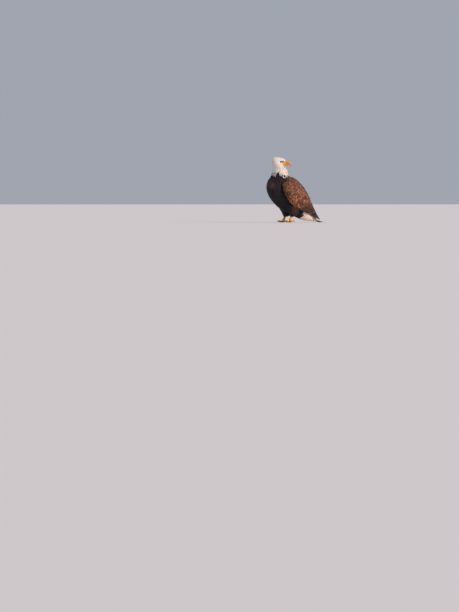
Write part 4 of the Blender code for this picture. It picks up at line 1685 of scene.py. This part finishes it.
@dataclass
class Leg:
    """An unfeathered shank, its four toes and their claws."""

    side: Side
    toe_radius: float = 0.0102
    toe_end: float = 0.0068
    sole_share: float = 0.72
    claw_root_up: float = 0.0125
    claw_root: float = 0.0046
    claw_tip: float = 0.0005
    claw_rise: float = math.radians(22)
    plate: float = 0.0044
    plate_height: float = 0.00055
    shank: tuple = (
        # up, y, half width, half length fore and aft
        (0.0800, 0.0247, 0.0088, 0.0100),
        (0.0560, 0.0080, 0.0094, 0.0108),
        (0.0410, -0.0020, 0.0098, 0.0113),
        (0.0300, -0.0095, 0.0108, 0.0124),
        (0.0256, -0.0118, 0.0114, 0.0124),
        (0.0207, -0.0120, 0.0128, 0.0128),
        (0.0158, -0.0120, 0.0134, 0.0134),
        (0.0109, -0.0120, 0.0128, 0.0128),
        (0.0060, -0.0120, 0.0104, 0.0104),
    )

    @property
    def foot(self) -> Array:
        """The middle of the foot on the floor."""
        return np.array((self.side.value * LEG_SIDE, FOOT_Y, 0.0)) + PLACE

    def plates(self, way: Array, facing: Array) -> tuple[Array, Array, Array]:
        """Overlapping plates along a leg or toe.

        Args:
            way: Distance along it.
            facing: 1 where the surface faces the plates' side, -1 behind.

        Returns:
            How far the surface stands out, the crease's share for painted shade, and the plated share.
        """
        phase = np.mod(way / self.plate, 1.0)
        plated = eased(facing, 0.0, 0.55)
        swell = 0.35 + 0.65 * np.sin(math.pi * np.clip(phase, 0, 1) ** 0.8) ** 0.7
        out = self.plate_height * plated * swell
        crease = plated * np.exp(-((np.minimum(phase, 1 - phase) / 0.09) ** 2))
        return out, crease, plated

    def shank_shell(self) -> Shell:
        """The shank and knuckle: level ellipses down a leaning line."""
        s = np.linspace(0, len(self.shank) - 1, 170)[:, None]
        up, y, half_x, half_y = np.moveaxis(smooth_values(self.shank, s), -1, 0)
        around = np.arange(40) * 2 * math.pi / 40
        facing = -np.cos(around) + 0 * s
        out, crease, plated = self.plates(up + 0 * around, facing)
        x = self.side.value * LEG_SIDE + (half_x + out) * np.sin(around)
        grid = np.stack([x, y + (half_y + out) * np.cos(around), up + 0 * around], -1) + PLACE
        return tube(grid, values={"crease": crease, "plate": plated}, finish=1)

    def way(self, toe: Toe) -> Array:
        """The level direction of a toe."""
        angle = math.radians(self.side.value * toe.outwards + FOOT_TURN)
        return np.array([math.sin(angle), -math.cos(angle), 0.0])

    def toe_shell(self, toe: Toe) -> Shell:
        """A toe: a tapered tube with pads below and plates above, flat where it meets the floor.

        Args:
            toe: Its sizes.

        Returns:
            A closed shell.
        """
        share = np.linspace(0, 1.0, 110)
        radii = self.toe_radius + (self.toe_end - self.toe_radius) * share
        radii = radii * (1 + 0.07 * np.cos((6 * share + 1) * math.pi))
        path = self.foot + self.way(toe) * (0.001 + (toe.length - 0.001) * share[:, None])
        path[:, 2] = self.sole_share * radii + (self.claw_root_up - self.sole_share * self.toe_end) * share**3
        around = np.arange(28) * 2 * math.pi / 28
        way = (share * toe.length)[:, None] + 0 * around
        out, crease, plated = self.plates(way, np.cos(around) + 0 * share[:, None])
        end = np.sqrt(np.clip((1 - share) / 0.05, 0.05, 1))[:, None]
        grid = swept(path, (radii[:, None] * 0.97 + out) * end, 28)
        grid[..., 2] = np.maximum(grid[..., 2], 0)
        return tube(grid, values={"crease": crease, "plate": plated}, finish=1)

    def claw_shell(self, toe: Toe) -> Shell:
        """A claw: an arc from the toe's end up and over to a point.

        Args:
            toe: The toe that it is on.

        Returns:
            A closed shell.
        """
        share = np.linspace(0, 1, 40)
        angle = self.claw_rise - share * toe.claw_length / toe.claw_radius
        ahead = toe.claw_radius * (math.sin(self.claw_rise) - np.sin(angle))
        rise = toe.claw_radius * (np.cos(angle) - math.cos(self.claw_rise))
        path = self.foot + self.way(toe) * (toe.length - 0.002 + ahead)[:, None]
        path[:, 2] = np.maximum(self.claw_root_up + rise, self.claw_tip + 0.0002)
        radii = self.claw_root + (self.claw_tip - self.claw_root) * share**0.8
        grid = swept(path, radii, 20, 1.12)
        grid[..., 2] = np.maximum(grid[..., 2], 0.0001)
        flat = np.ones(grid.shape[:2])
        values = {"ring": share[:, None] * flat, "around": np.abs(np.linspace(-1, 1, 20)) * flat}
        return tube(grid, values=values)

    def shells(self) -> list[Shell]:
        """The scaled parts."""
        return [self.shank_shell(), *(self.toe_shell(toe) for toe in TOES)]

    def build_claws(self, finish: Material) -> None:
        """Makes this foot's claws and stands them in for the model's."""
        whole, _ = Shell.joined(self.claw_shell(toe) for toe in TOES)
        piece = piece_from(f"claws_{self.side.word}", whole, [finish])
        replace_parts(piece, *(f"claw_{toe.name}_{self.side.word}" for toe in TOES))


# ---------------- skin


SLANT = (0.5, 0.866)  # sine and cosine of 30 degrees, the side view's turn to the front
VENT_FORE, VENT_UP = -0.182, 0.066
VENT_FACING = (-0.90, -0.44)  # fore and up, of the plane between belly and tail coverts
NECK_WHITE_UP, NECK_FRONT_RISE = 0.436, 0.026
BORDER_FADE = 0.01
NOTCH_FRONT, NOTCH_REACH, NOTCH_UP = 0.12, 0.24, 0.055
BREAST_PATCH = (-0.228, 0.375), (0.032, 0.026)
THIGH_PATCH = (-0.028, 0.122), (0.036, 0.030)
RUMP_UP = 0.155
FACE_UP, BILL_HALF = 0.5, 0.008  # the face is above the one, and its sides are beyond the other
# where the skin about the eye takes the dark colour of unfeathered skin and painted shade under the brow
EYE_STRIPE, EYE_STRIPE_REACH = (0.022, 0.560), (0.030, 0.0105)
EYE_ROOM, EYE_ROOM_AHEAD = (0.0095, 0.0080, 0.0078), 0.003  # fore and aft, above, below; its middle's place
# no feathers in this band under the brow, where the dark skin shows as painted shade
BROW_BAND = (0.5665, 0.0032, 0.002, 0.043)  # height, half height, from, to
MOUTH_BAND = (0.5320, 0.17, 0.0017, 0.027)  # height at the neck's axis, rise ahead, half height, from
LORE, LORE_REACH, LORE_THINNED = (0.042, 0.553), (0.010, 0.012), 0.55


def neck_border(points: Array) -> Array:
    """Height of the white neck's lower border: higher in front, and with a narrow notch left of it.

    The turned neck parts the white hackles there, so that the breast's dark feathers show between them.
    """
    x, y = points[..., 0], points[..., 1] - PLACE[1] - NECK_AXIS_Y
    round_neck = np.maximum(np.hypot(x, y), 1e-6)
    front = -(SLANT[0] * x + SLANT[1] * y) / round_neck
    left = (SLANT[1] * x - SLANT[0] * y) / round_neck
    notch = np.exp(-(((front - NOTCH_FRONT) / NOTCH_REACH) ** 2)) * (left > 0)
    return NECK_WHITE_UP + NECK_FRONT_RISE * eased(front, 0.1, 0.9) + NOTCH_UP * notch


def patch_at(points: Array, side: Side, middle: Pair, reach: Pair) -> Array:
    """1 in a patch of browner feathers and 0 far from it: exp(-distance squared) in a slanting side view.

    Args:
        points: Places on the coat.
        side: The side that the patch is on.
        middle: Distance back and height of its middle.
        reach: How far it spreads back and up.

    Returns:
        The patch's strength at each point.
    """
    along = SLANT[0] * side.value * points[..., 0] + SLANT[1] * points[..., 1]
    far = ((along - middle[0]) / reach[0]) ** 2 + ((points[..., 2] - middle[1]) / reach[1]) ** 2
    return np.exp(-far)


def whiteness(points: Array) -> Array:
    """1 where the coat is white: above the neck's border, and behind a slanting plane at the vent.

    Args:
        points: Places on the coat.

    Returns:
        The white share at each.
    """
    fore = NECK_AXIS_Y + PLACE[1] - points[..., 1]
    behind = VENT_FACING[0] * (fore - VENT_FORE) + VENT_FACING[1] * (points[..., 2] - VENT_UP)
    vent = eased(behind, -BORDER_FADE, 0.0) * (1 - eased(points[..., 2], RUMP_UP - 2 * BORDER_FADE, RUMP_UP))
    return np.maximum(eased(points[..., 2] - neck_border(points), -BORDER_FADE, BORDER_FADE), vent)


@dataclass
class Skin:
    """One skin under the whole coat: body, thighs, wings, unfeathered legs, lids and mouth corners."""

    body: BodyForm
    segments: int = 120
    head_end: float = 5.0  # station down to which its rings are closer
    thigh_span: Pair = (0.05, 6.1)
    wing_span: Pair = (0.15, 7.6)
    wing_across: Pair = (0.03, 0.97)
    fold_across: Pair = (-0.1, 1.05)
    least: float = 0.0006  # thickness of a wing's edge
    fold_depth: Pair = (0.0045, 0.0060)  # of a fold's two faces, under its feathers' tips

    def body_shell(self) -> Shell:
        """The body's form less the coat's depth, finest on the head."""
        head = np.linspace(0, self.head_end, 130)
        rest = np.linspace(self.head_end, self.body.s_span[1], 100)[1:]
        s, t = np.concatenate([head, rest])[:, None], np.arange(self.segments) / self.segments
        point, normal, _, _ = self.body.frame_at(s, t)
        inside = point - normal * self.body.depth(s + 0 * t)[..., None]
        rows = head_distances(point)
        # the dark colour of unfeathered skin and painted shade, about the eye
        far = (((rows[..., :2] - EYE_STRIPE) / EYE_STRIPE_REACH) ** 2).sum(-1)
        bare = eased(np.exp(-far), 0.25, 0.5) * (np.abs(rows[..., 2]) > BILL_HALF) * (point[..., 2] > FACE_UP)
        return tube(inside, values={"white": whiteness(point), "bare": bare})

    def thigh_shell(self, form: ThighForm) -> Shell:
        """A thigh's form less the coat's depth.

        Args:
            form: The thigh.

        Returns:
            A closed shell.
        """
        s, t = np.linspace(*self.thigh_span, 60)[:, None], np.arange(48) / 48
        point, normal, _, _ = form.frame_at(s, t)
        inside = point - normal * form.depth(s + 0 * t)[..., None]
        return tube(inside, values={"white": np.zeros(inside.shape[:2])})

    def wing_shell(self, form: WingForm) -> Shell:
        """The folded arm: a slab under the wing's feathers, thin at its edges.

        Args:
            form: The wing.

        Returns:
            A closed shell.
        """
        s, t = np.linspace(*self.wing_span, 90)[:, None], np.linspace(*self.wing_across, 48)
        point, normal, _, _ = form.frame_at(s, t)
        end = np.clip(np.minimum(s, form.s_span[1] - s) / 2, 0, 1)
        full = WING_EDGE + (WING_THICK - WING_EDGE) * np.sin(math.pi * t) * end
        edge = np.clip(np.minimum(t, 1 - t) / 0.12, 0.25, 1)
        coat = form.depth(s + 0 * t) * edge
        top = point - normal * coat[..., None]
        under = point - normal * np.maximum(full, coat + self.least)[..., None]
        brown = np.concatenate([np.ones(top[..., 0].size), np.zeros(under[..., 0].size)])
        return sheet_pair(top, under, values={"brown": brown})

    def fold_shell(self, form: FoldForm) -> Shell:
        """A thin fold under the feathers between a wing's edge and the body.

        Args:
            form: The fold.

        Returns:
            A closed shell.
        """
        s, t = np.linspace(*form.s_span, 49)[:, None], np.linspace(*self.fold_across, 9)
        point, normal, _, _ = form.frame_at(s, t)
        top, under = (point - normal * depth for depth in self.fold_depth)
        return sheet_pair(top, under)

    def build(
        self,
        face: Face,
        thighs: list[ThighForm],
        wings: list[WingForm],
        folds: list[FoldForm],
        legs: list[Leg],
    ) -> None:
        """Makes the skin and stands it in for every fleshy node.

        Args:
            face: Lids, brows and mouth corners.
            thighs: Both thighs.
            wings: Both wings.
            folds: The folds between wings and body.
            legs: Both legs.
        """
        shells = [self.body_shell(), *face.shells()]
        shells += [self.fold_shell(form) for form in folds]
        shells += [self.thigh_shell(form) for form in thighs]
        shells += [self.wing_shell(form) for form in wings]
        for leg in legs:
            shells += leg.shells()
        whole, finishes = Shell.joined(shells)
        piece = piece_from("skin", whole, [SkinFinish().make(), ScaleFinish().make()], finishes)
        nodes = ["head", "neck", "trunk", "tail_coverts"]
        for side in Side:
            parts = ("wing_coverts", "secondaries", "primaries", "thigh", "tarsus", "foot")
            nodes += [f"{part}_{side.word}" for part in parts]
        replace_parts(piece, *nodes)


# ---------------- plumage


HACKLE_OVERLAP = 0.026  # how high dark feathers start under the neck's hackles
BREAST_SPREAD, THIGH_SPREAD = (0.5, 1.5), (0.2, 0.8)  # of the shade of single feathers in a browner patch
BACK_SPREAD, COVERT_SPREAD = 0.25, 0.28  # how much the brown feathers of a tract differ in shade
FRONT_PLAIN, LOW_PLAIN = 0.5, 0.3  # how far coverts darken near the flank's edge, and low down
# a tip that runs under a wing's edge is lifted over it, unless it is deeper or farther in than this
CLIMB_OVER, CLIMB_FROM, CLIMB_REACH = 0.0015, 0.020, 0.004
# how far under a cover a feather is hidden, and how far sideways beyond its rim
WING_HIDES, THIGH_HIDES, BODY_HIDES = (0.002, 0.012), (0.004, 0.014), (0.006, 0.016)


@dataclass(frozen=True)
class FlightRow:
    """A row of long flight feathers side by side, from the spine's edge of a wing to the flank's."""

    vane: Vane
    count: int
    stations: Pair  # of the first root and of the last
    across: Pair  # share of the chord at the first root and at the last
    lengths: Pair  # of the first and of the last
    half: float
    shade: float  # how far from the dark colour to the brown one
    sunk: float  # how far down the coat's depth the roots are

    def roots(self, rng: np.random.Generator) -> Roots:
        """Sets the row out, with small differences.

        Args:
            rng: Random numbers.

        Returns:
            The roots.
        """
        order = np.linspace(0, 1, self.count)
        s, t, length = (a + (b - a) * order for a, b in (self.stations, self.across, self.lengths))
        return Roots(
            s + rng.normal(0, 0.02, self.count),
            t,
            length * rng.uniform(0.97, 1.03, self.count),
            np.full(self.count, self.half),
            np.radians(rng.normal(0, 0.5, self.count)),
            rng.uniform(0.0002, 0.0007, self.count),
            rng.uniform(0, 1, self.count),
            np.clip(self.shade + rng.normal(0, 0.2, self.count) * (self.shade > 0), 0, 1),
        )


# each begins with stations from and to, the gap along, the gap across, length and half width
FACE_TRACTS = (
    Tract(0.01, 0.9, 0.0015, 0.0014, 0.0036, 0.0009, TINY, lift=0.0002, yaw=8),
    Tract(0.85, 1.9, 0.0019, 0.0016, 0.0050, 0.0010, TINY, lift=0.0001, yaw=6),
    Tract(1.8, 3.0, 0.0031, 0.0024, 0.0085, 0.0016, TINY, lift=0.0003, yaw=7),
)
CROWN_TRACTS = (
    Tract(2.8, 5.0, 0.0043, 0.0033, 0.0140, 0.0025, HACKLE, lift=0.0005, yaw=6),
    Tract(4.9, 7.0, 0.0066, 0.0046, 0.0220, 0.0031, HACKLE, lift=0.0009, yaw=6),
)
HACKLE_TRACTS = (
    Tract(6.9, 8.6, 0.0084, 0.0056, 0.0310, 0.0038, HACKLE, lift=0.0018, yaw=6),
    Tract(8.5, 10.15, 0.0094, 0.0064, 0.0400, 0.0045, HACKLE, lift=0.0028, yaw=7),
)
TRUNK_TRACTS = (
    Tract(8.3, 11.0, 0.0100, 0.0092, 0.0300, 0.0068, BODY_VANE, lift=0.0002, yaw=5),
    Tract(10.9, 13.0, 0.0125, 0.0102, 0.0390, 0.0082, BODY_VANE, lift=0.0012, yaw=6),
    Tract(12.9, 15.5, 0.0140, 0.0110, 0.0440, 0.0088, BODY_VANE, lift=0.0014, yaw=6),
    Tract(15.4, 18.2, 0.0140, 0.0115, 0.0420, 0.0088, DROOP, lift=0.0012, yaw=6),
    Tract(18.1, 20.9, 0.0140, 0.0095, 0.0520, 0.0088, DROOP, lift=0.0006, yaw=4),
)
FLANK_TRACT = Tract(-0.5, 23.0, 0.0115, 0.0085, 0.0360, 0.0070, BODY_VANE, -0.35, 1.12, lift=0.0010)
BACK_TRACT = Tract(-0.5, 23.0, 0.0150, 0.0085, 0.0440, 0.0098, COVERT, -0.45, 1.05, lift=0.0008, shade=0.35)
THIGH_TRACTS = (
    Tract(0.4, 3.6, 0.0110, 0.0095, 0.0360, 0.0072, DROOP, lift=0.0012, yaw=5),
    Tract(3.5, 5.75, 0.0085, 0.0075, 0.0250, 0.0054, DROOP, lift=0.0010, yaw=6),
)
COVERT_TRACTS = (
    Tract(-0.25, 1.4, 0.0110, 0.0110, 0.0260, 0.0080, COVERT, lift=0.0006, shade=0.15),
    Tract(1.3, 2.6, 0.0135, 0.0130, 0.0340, 0.0096, COVERT, lift=0.0006, shade=0.45),
    Tract(2.5, 3.5, 0.0190, 0.0160, 0.0470, 0.0118, COVERT, lift=0.0007, shade=0.6, yaw=4),
    Tract(3.4, 4.3, 0.0270, 0.0175, 0.0700, 0.0135, COVERT, lift=0.0007, shade=0.5, yaw=3),
)
FLIGHT_ROWS = (
    FlightRow(PRIMARY_VANE, 10, (6.0, 6.05), (0.10, 0.92), (0.145, 0.185), 0.0115, 0.0, 0.5),
    FlightRow(FLIGHT_VANE, 13, (5.0, 5.2), (0.03, 0.95), (0.150, 0.120), 0.0135, 0.35, 0.7),
    FlightRow(FLIGHT_VANE, 12, (4.35, 4.4), (0.05, 0.93), (0.130, 0.100), 0.0140, 0.65, 0.8),
)


@dataclass
class Plumage:
    """All the feathers, tract by tract."""

    body: BodyForm
    wings: list[WingForm]
    thighs: list[ThighForm]
    flanks: list[FoldForm]  # from the body to the wings' flank edges
    backs: list[FoldForm]  # over the wings' inner edges
    rng: np.random.Generator = field(default_factory=lambda: np.random.default_rng(SEED))

    def __post_init__(self) -> None:
        """Samples the forms that cover one another."""
        self.wing_cover = [Cover.of(form, (0.2, 8.7), (0.03, 0.97)) for form in self.wings]
        self.thigh_cover = [Cover.of(form, (0.0, 6.0), (0.0, 1.0)) for form in self.thighs]
        self.body_cover = Cover.of(self.body, (8.0, 21.0), (0.0, 1.0), 110)

    @staticmethod
    def ends(form: Form, roots: Roots) -> tuple[Array, Array]:
        """Points on the form at the roots and under the tips.

        Args:
            form: The form that they grow from.
            roots: Their roots.

        Returns:
            Both rows of points.
        """
        point, _, metre_s, metre_t = form.frame_at(roots.s, roots.t)
        s = roots.s + roots.length * np.cos(roots.yaw) / metre_s
        return point, form.at(s, roots.t + roots.length * np.sin(roots.yaw) / metre_t)

    def hidden(self, form: Form, roots: Roots, covers: Sequence[Cover], sunk: float, reach: float) -> Array:
        """True for feathers that lie wholly under or inside other forms.

        Args:
            form: The form that they grow from.
            roots: Their roots.
            covers: What may cover them.
            sunk: How far under the cover hides them.
            reach: How far sideways beyond a cover's rim still counts as under it.

        Returns:
            True for each hidden feather.
        """
        point, tips = self.ends(form, roots)
        under = np.zeros(len(point), bool)
        for cover in covers:
            ends = []
            for place in (point, tips):
                high, away = cover.outside(place)
                ends.append((high < -sunk) & (away < reach))
            under |= ends[0] & ends[1]
        return under

    def head(self) -> None:
        """White feathers from tiny ones about the bill to long pointed hackles down the neck."""
        finish = WHITE.make()
        face = Coat("face_feathers", finish, "white_feathers")
        crown = Coat("crown_feathers", finish, "white_feathers")
        hackles = Coat("neck_hackles", finish, "white_feathers")
        coats = ((face, FACE_TRACTS), (crown, CROWN_TRACTS), (hackles, HACKLE_TRACTS))
        for coat, tracts in coats:
            for tract in tracts:
                roots = self.off_the_eye(tract.roots(self.body, self.rng))
                point = self.body.at(roots.s, roots.t)
                coat.lay(self.body, roots.kept(point[:, 2] > neck_border(point) + 0.003), tract.vane)
        for coat, _ in coats:
            coat.make()

    def off_the_eye(self, roots: Roots) -> Roots:
        """Leaves out feathers that would cross an eye, its brow or the mouth's corner, and greys the lores.

        Args:
            roots: Roots on the body's form.

        Returns:
            Those that are left.
        """
        point, tips = self.ends(self.body, roots)
        clear = np.ones(len(point), bool)
        for place in (point, (point + tips) / 2, tips):
            rows = head_distances(place)
            fore, up = rows[:, 0], rows[:, 1]
            rise = (up - EYE_UP) / np.where(up > EYE_UP, EYE_ROOM[1], EYE_ROOM[2])
            far = ((fore - EYE_FORE - EYE_ROOM_AHEAD) / EYE_ROOM[0]) ** 2 + rise**2
            middle, half, from_fore, to_fore = BROW_BAND
            under_brow = (np.abs(up - middle) < half) & (fore > from_fore) & (fore < to_fore)
            middle, slope, half, from_fore = MOUTH_BAND
            mouth = (np.abs(up - middle - slope * fore) < half) & (fore > from_fore)
            beside = (np.abs(rows[:, 2]) > BILL_HALF + 0.002) & (up > FACE_UP)
            clear &= ~(beside & ((far < 1) | under_brow | mouth))
        rows = head_distances(point)
        lore = np.exp(-(((rows[:, :2] - LORE) / LORE_REACH) ** 2).sum(-1))
        roots.shade = lore * (np.abs(rows[:, 2]) > BILL_HALF) * (rows[:, 1] > FACE_UP)
        chosen = self.rng.uniform(0, 1, len(point)) < 1 - LORE_THINNED * roots.shade
        return roots.kept(clear & chosen)

    def trunk(self) -> None:
        """Dark feathers of breast, belly, back and flanks, and the white ones about the tail."""
        dark = Coat("body_feathers", DARK.make(), "dark_feathers")
        white = Coat("tail_covert_feathers", CREAM.make(), "white_feathers")
        for tract in TRUNK_TRACTS:
            roots = tract.roots(self.body, self.rng)
            point = self.body.at(roots.s, roots.t)
            hidden = self.hidden(self.body, roots, self.wing_cover, *WING_HIDES)
            hidden |= self.hidden(self.body, roots, self.thigh_cover, *THIGH_HIDES)
            pale = (whiteness(point) > 0.5) & (point[:, 2] < RUMP_UP)
            hidden |= point[:, 2] > neck_border(point) + HACKLE_OVERLAP
            self.climb(roots)
            roots.shade = eased(np.cos(2 * math.pi * roots.t), 0.1, 0.7)
            patch = patch_at(point, Side.LEFT, *BREAST_PATCH) * (point[:, 1] < PLACE[1])
            roots.shade = np.maximum(roots.shade, patch * self.rng.uniform(*BREAST_SPREAD, len(patch)))
            dark.lay(self.body, roots.kept(~hidden & ~pale), tract.vane)
            roots.shade = roots.shade * 0
            white.lay(self.body, roots.kept(~hidden & pale), tract.vane)
        for coat in (dark, white):
            coat.make()
        self.scapulars()
        for form in self.flanks:
            fold = Coat(f"flank_feathers_{form.side.word}", DARK.make(), "dark_feathers")
            fold.lay(form, FLANK_TRACT.roots(form, self.rng), FLANK_TRACT.vane)
            fold.make()

    def climb(self, roots: Roots) -> None:
        """Lifts the tips of feathers that would run under a wing's edge, so that they lie on it."""
        point, tips = self.ends(self.body, roots)
        for cover in self.wing_cover:
            high, away = cover.outside(tips)
            _, start_away = cover.outside(point)
            under = (high < 0) & (high > -CLIMB_FROM) & (away < CLIMB_REACH) & (start_away > CLIMB_OVER)
            roots.lift = np.where(under, CLIMB_OVER - high, roots.lift)

    def scapulars(self) -> None:
        """Brown feathers that lie from the back over the wings' inner edges."""
        coat = Coat("scapular_feathers", BROWN.make(), "brown_feathers")
        for form in self.backs:
            roots = BACK_TRACT.roots(form, self.rng)
            roots.shade = np.clip(roots.shade + self.rng.normal(0, BACK_SPREAD, len(roots.s)), 0, 1)
            coat.lay(form, roots, BACK_TRACT.vane)
        coat.make()

    def thigh(self, form: ThighForm) -> None:
        """Long drooping feathers down to a ragged cuff.

        Args:
            form: The thigh.
        """
        coat = Coat(f"thigh_feathers_{form.side.word}", DARK.make(), "dark_feathers")
        for tract in THIGH_TRACTS:
            roots = tract.roots(form, self.rng)
            hidden = self.hidden(form, roots, [self.body_cover], *BODY_HIDES)
            hidden |= self.hidden(form, roots, self.wing_cover, *WING_HIDES)
            point = form.at(roots.s, roots.t)
            room = np.linalg.norm(form.at(form.s_span[1], roots.t) - point, axis=-1)
            roots.length = np.minimum(roots.length, room + self.rng.uniform(0.003, 0.010, len(room)))
            outside = form.side.value * point[:, 0] > THIGH[2][4]
            patch = patch_at(point, form.side, *THIGH_PATCH) * outside
            roots.shade = patch * self.rng.uniform(*THIGH_SPREAD, len(patch))
            coat.lay(form, roots.kept(~hidden), tract.vane)
        coat.make()

    def wing(self, form: WingForm) -> None:
        """Coverts, darker near the flank's edge and low down, then three rows of flight feathers.

        Args:
            form: The wing.
        """
        coverts = Coat(f"covert_feathers_{form.side.word}", BROWN.make(), "brown_feathers")
        flight = Coat(f"flight_feathers_{form.side.word}", FLIGHT.make(), "brown_feathers")
        for tract in COVERT_TRACTS:
            roots = tract.roots(form, self.rng)
            roots.shade = np.clip(roots.shade + self.rng.normal(0, COVERT_SPREAD, len(roots.s)), 0, 1)
            front = eased(roots.t, 0.78, 0.98) * eased(roots.s, 3.0, 1.5)
            brown = 1 - FRONT_PLAIN * front - LOW_PLAIN * eased(roots.s, 2.8, 4.3)
            roots.shade, roots.tint = roots.shade * brown, roots.tint * brown
            coverts.lay(form, roots, tract.vane)
        for row in FLIGHT_ROWS:
            flight.lay(form, row.roots(self.rng), row.vane, row.sunk)
        for coat in (coverts, flight):
            coat.make()


@dataclass
class Tail:
    """Twelve tail feathers, closed: the middle pair on top and each next pair a little lower."""

    pairs: int = 6
    half: float = 0.0150
    rounding: float = 0.05
    spread: float = 0.80  # of the tail's half width, at the outermost shafts
    root: float = 0.05  # share of the tail's length where the roots are

    def build(self, rng: np.random.Generator) -> None:
        """Makes the tail and stands it in for the model's.

        Args:
            rng: Random numbers for small differences.
        """
        coat = Coat("tail_feathers", TAIL.make(), "white_feathers")
        for pair in range(self.pairs):
            form = TailForm(level=0.5 - 0.8 * pair / (self.pairs - 1))
            across = (pair + 0.5) / self.pairs * self.spread
            for sign in (-1, 1):
                row = (
                    self.root,
                    sign * across,
                    TAIL_LENGTH * (0.945 - self.rounding * across**2) + rng.normal(0, 0.0008),
                    self.half,
                    math.radians(rng.normal(0, 0.3)),
                    0.0002,
                    rng.uniform(0, 1),
                    0.0,
                )
                coat.lay(form, Roots(*(np.array([value]) for value in row)), TAIL_VANE, 0.0)
        for shell in coat.shells:
            shell.points[:, 2] = np.maximum(shell.points[:, 2], 0.0001)
        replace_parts(coat.make(), "tail")


# ---------------- studio


@dataclass(frozen=True)
class Lamp:
    """A distant soft light: colour, strength, spread in degrees, and the way to it.

    The way is three shares: to the view's right, back to the camera, and up.
    """

    name: str
    colour: Colour
    strength: float
    spread: float
    way: Triple


LAMPS = (
    Lamp("key", (1.0, 0.73, 0.57), 3.35, 14, (0.86, 0.44, 0.42)),
    Lamp("fill", (0.72, 0.80, 1.0), 0.35, 60, (-0.8, 0.5, 0.5)),
    Lamp("above", (0.95, 0.97, 1.0), 0.35, 90, (0.0, -0.3, 1.0)),
)


@dataclass
class Studio:
    """A plain pale floor, a soft warm key light from the right of the view, soft fill, and the camera."""

    azimuth: float = 60.0
    distance: float = 35.2
    camera_up: float = 0.1806
    half_height: float = math.radians(4.65)  # half the view's angle from its foot to its head
    pitch: float = math.radians(1.56825)  # how far it looks down
    yaw: float = math.radians(0.89086)  # how far it looks past the bird, to its left
    along: float = -0.0779  # of the camera, to the view's right
    floor_half: float = 400.0
    floor_colour: Colour = (0.68, 0.69, 0.71)
    sky: Colour = (0.70, 0.75, 0.86)
    sky_strength: float = 0.50

    def build(self) -> None:
        """Makes the floor, the lights, the world and the camera."""
        self.floor()
        self.lights()
        self.camera()

    def directions(self) -> tuple[Vector, Vector]:
        """The view's right, and from the bird back to the camera, both level."""
        a = math.radians(self.azimuth)
        return Vector((math.cos(a), math.sin(a), 0)), Vector((math.sin(a), -math.cos(a), 0))

    def floor(self) -> None:
        """A wide plain floor at Z 0, a hair under the soles."""
        size, low = self.floor_half, -0.0002
        mesh = bpy.data.meshes.new("floor")
        corners = [(-size, -size, low), (size, -size, low), (size, size, low), (-size, size, low)]
        mesh.from_pydata(corners, [], [(0, 1, 2, 3)])
        g = Graph("pale_floor")
        g.set(base_color=self.floor_colour, roughness=1.0, specular_ior_level=0.0)
        mesh.materials.append(g.material)
        shown("floor", mesh)

    def lamp(self, lamp: Lamp) -> None:
        """Puts up a distant light, turned so that it shines from its way."""
        right, back = self.directions()
        way = right * lamp.way[0] + back * lamp.way[1] + Vector((0, 0, 1)) * lamp.way[2]
        data = bpy.data.lights.new(lamp.name, "SUN")
        data.color, data.energy, data.angle = lamp.colour, lamp.strength, math.radians(lamp.spread)
        made = shown(lamp.name, data)
        made.rotation_mode = "QUATERNION"
        made.rotation_quaternion = way.to_track_quat("Z", "Y")

    def lights(self) -> None:
        """Puts up the lights and a pale sky, and keeps the finishes' colours as they are."""
        for lamp in LAMPS:
            self.lamp(lamp)
        world = bpy.data.worlds.new("pale_world")
        world.use_nodes = True
        background = world.node_tree.nodes["Background"]
        background.inputs["Color"].default_value = (*self.sky, 1.0)
        background.inputs["Strength"].default_value = self.sky_strength
        bpy.context.scene.world = world
        bpy.context.scene.view_settings.view_transform = "Standard"

    def camera(self) -> None:
        """A long lens far off, near level, that keeps the bird small and right of the view's middle."""
        right, back = self.directions()
        data = bpy.data.cameras.new("camera")
        data.sensor_width = 36.0
        data.lens = data.sensor_width / 2 / math.tan(self.half_height)
        data.clip_end = 1500.0
        made = shown("camera", data)
        made.location = right * self.along + back * self.distance + Vector((0, 0, self.camera_up))
        look = -back * math.cos(self.yaw) - right * math.sin(self.yaw)
        look = look * math.cos(self.pitch) + Vector((0, 0, -math.sin(self.pitch)))
        made.rotation_mode = "QUATERNION"
        made.rotation_quaternion = look.to_track_quat("-Z", "Y")
        bpy.context.scene.camera = made


def back_fold(side: Side) -> FoldForm:
    """The fold of the back that lies over a wing's inner edge, under the scapular feathers."""
    sizes = {"swell": 0.003, "edge_t": 0.07, "ends": (0.5, 4.6), "proud": 0.0008, "inwards": 0.020}
    return FoldForm(side=side, facing=(0.0, 1.0, 1.0), **sizes)


def main() -> None:
    """Builds the bird's pieces in order, then the studio."""
    logging.basicConfig(level=logging.INFO, format="%(name)s %(message)s")
    body = BodyForm()
    wings = [WingForm(side=side) for side in Side]
    thighs = [ThighForm(side=side) for side in Side]
    flanks = [FoldForm(side=side) for side in Side]
    backs = [back_fold(side) for side in Side]
    legs = [Leg(side) for side in Side]
    face = Face(body)
    Skin(body).build(face, thighs, wings, flanks + backs, legs)
    Bill().build()
    eye_finish, claw_finish = EyeFinish().make(), ClawFinish().make()
    for side in Side:
        Eye(side).build(eye_finish)
    for leg in legs:
        leg.build_claws(claw_finish)
    plumage = Plumage(body, wings, thighs, flanks, backs)
    plumage.head()
    plumage.trunk()
    for form in thighs:
        plumage.thigh(form)
    for form in wings:
        plumage.wing(form)
    Tail().build(plumage.rng)
    Studio().build()
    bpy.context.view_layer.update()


if __name__ == "__main__":
    main()
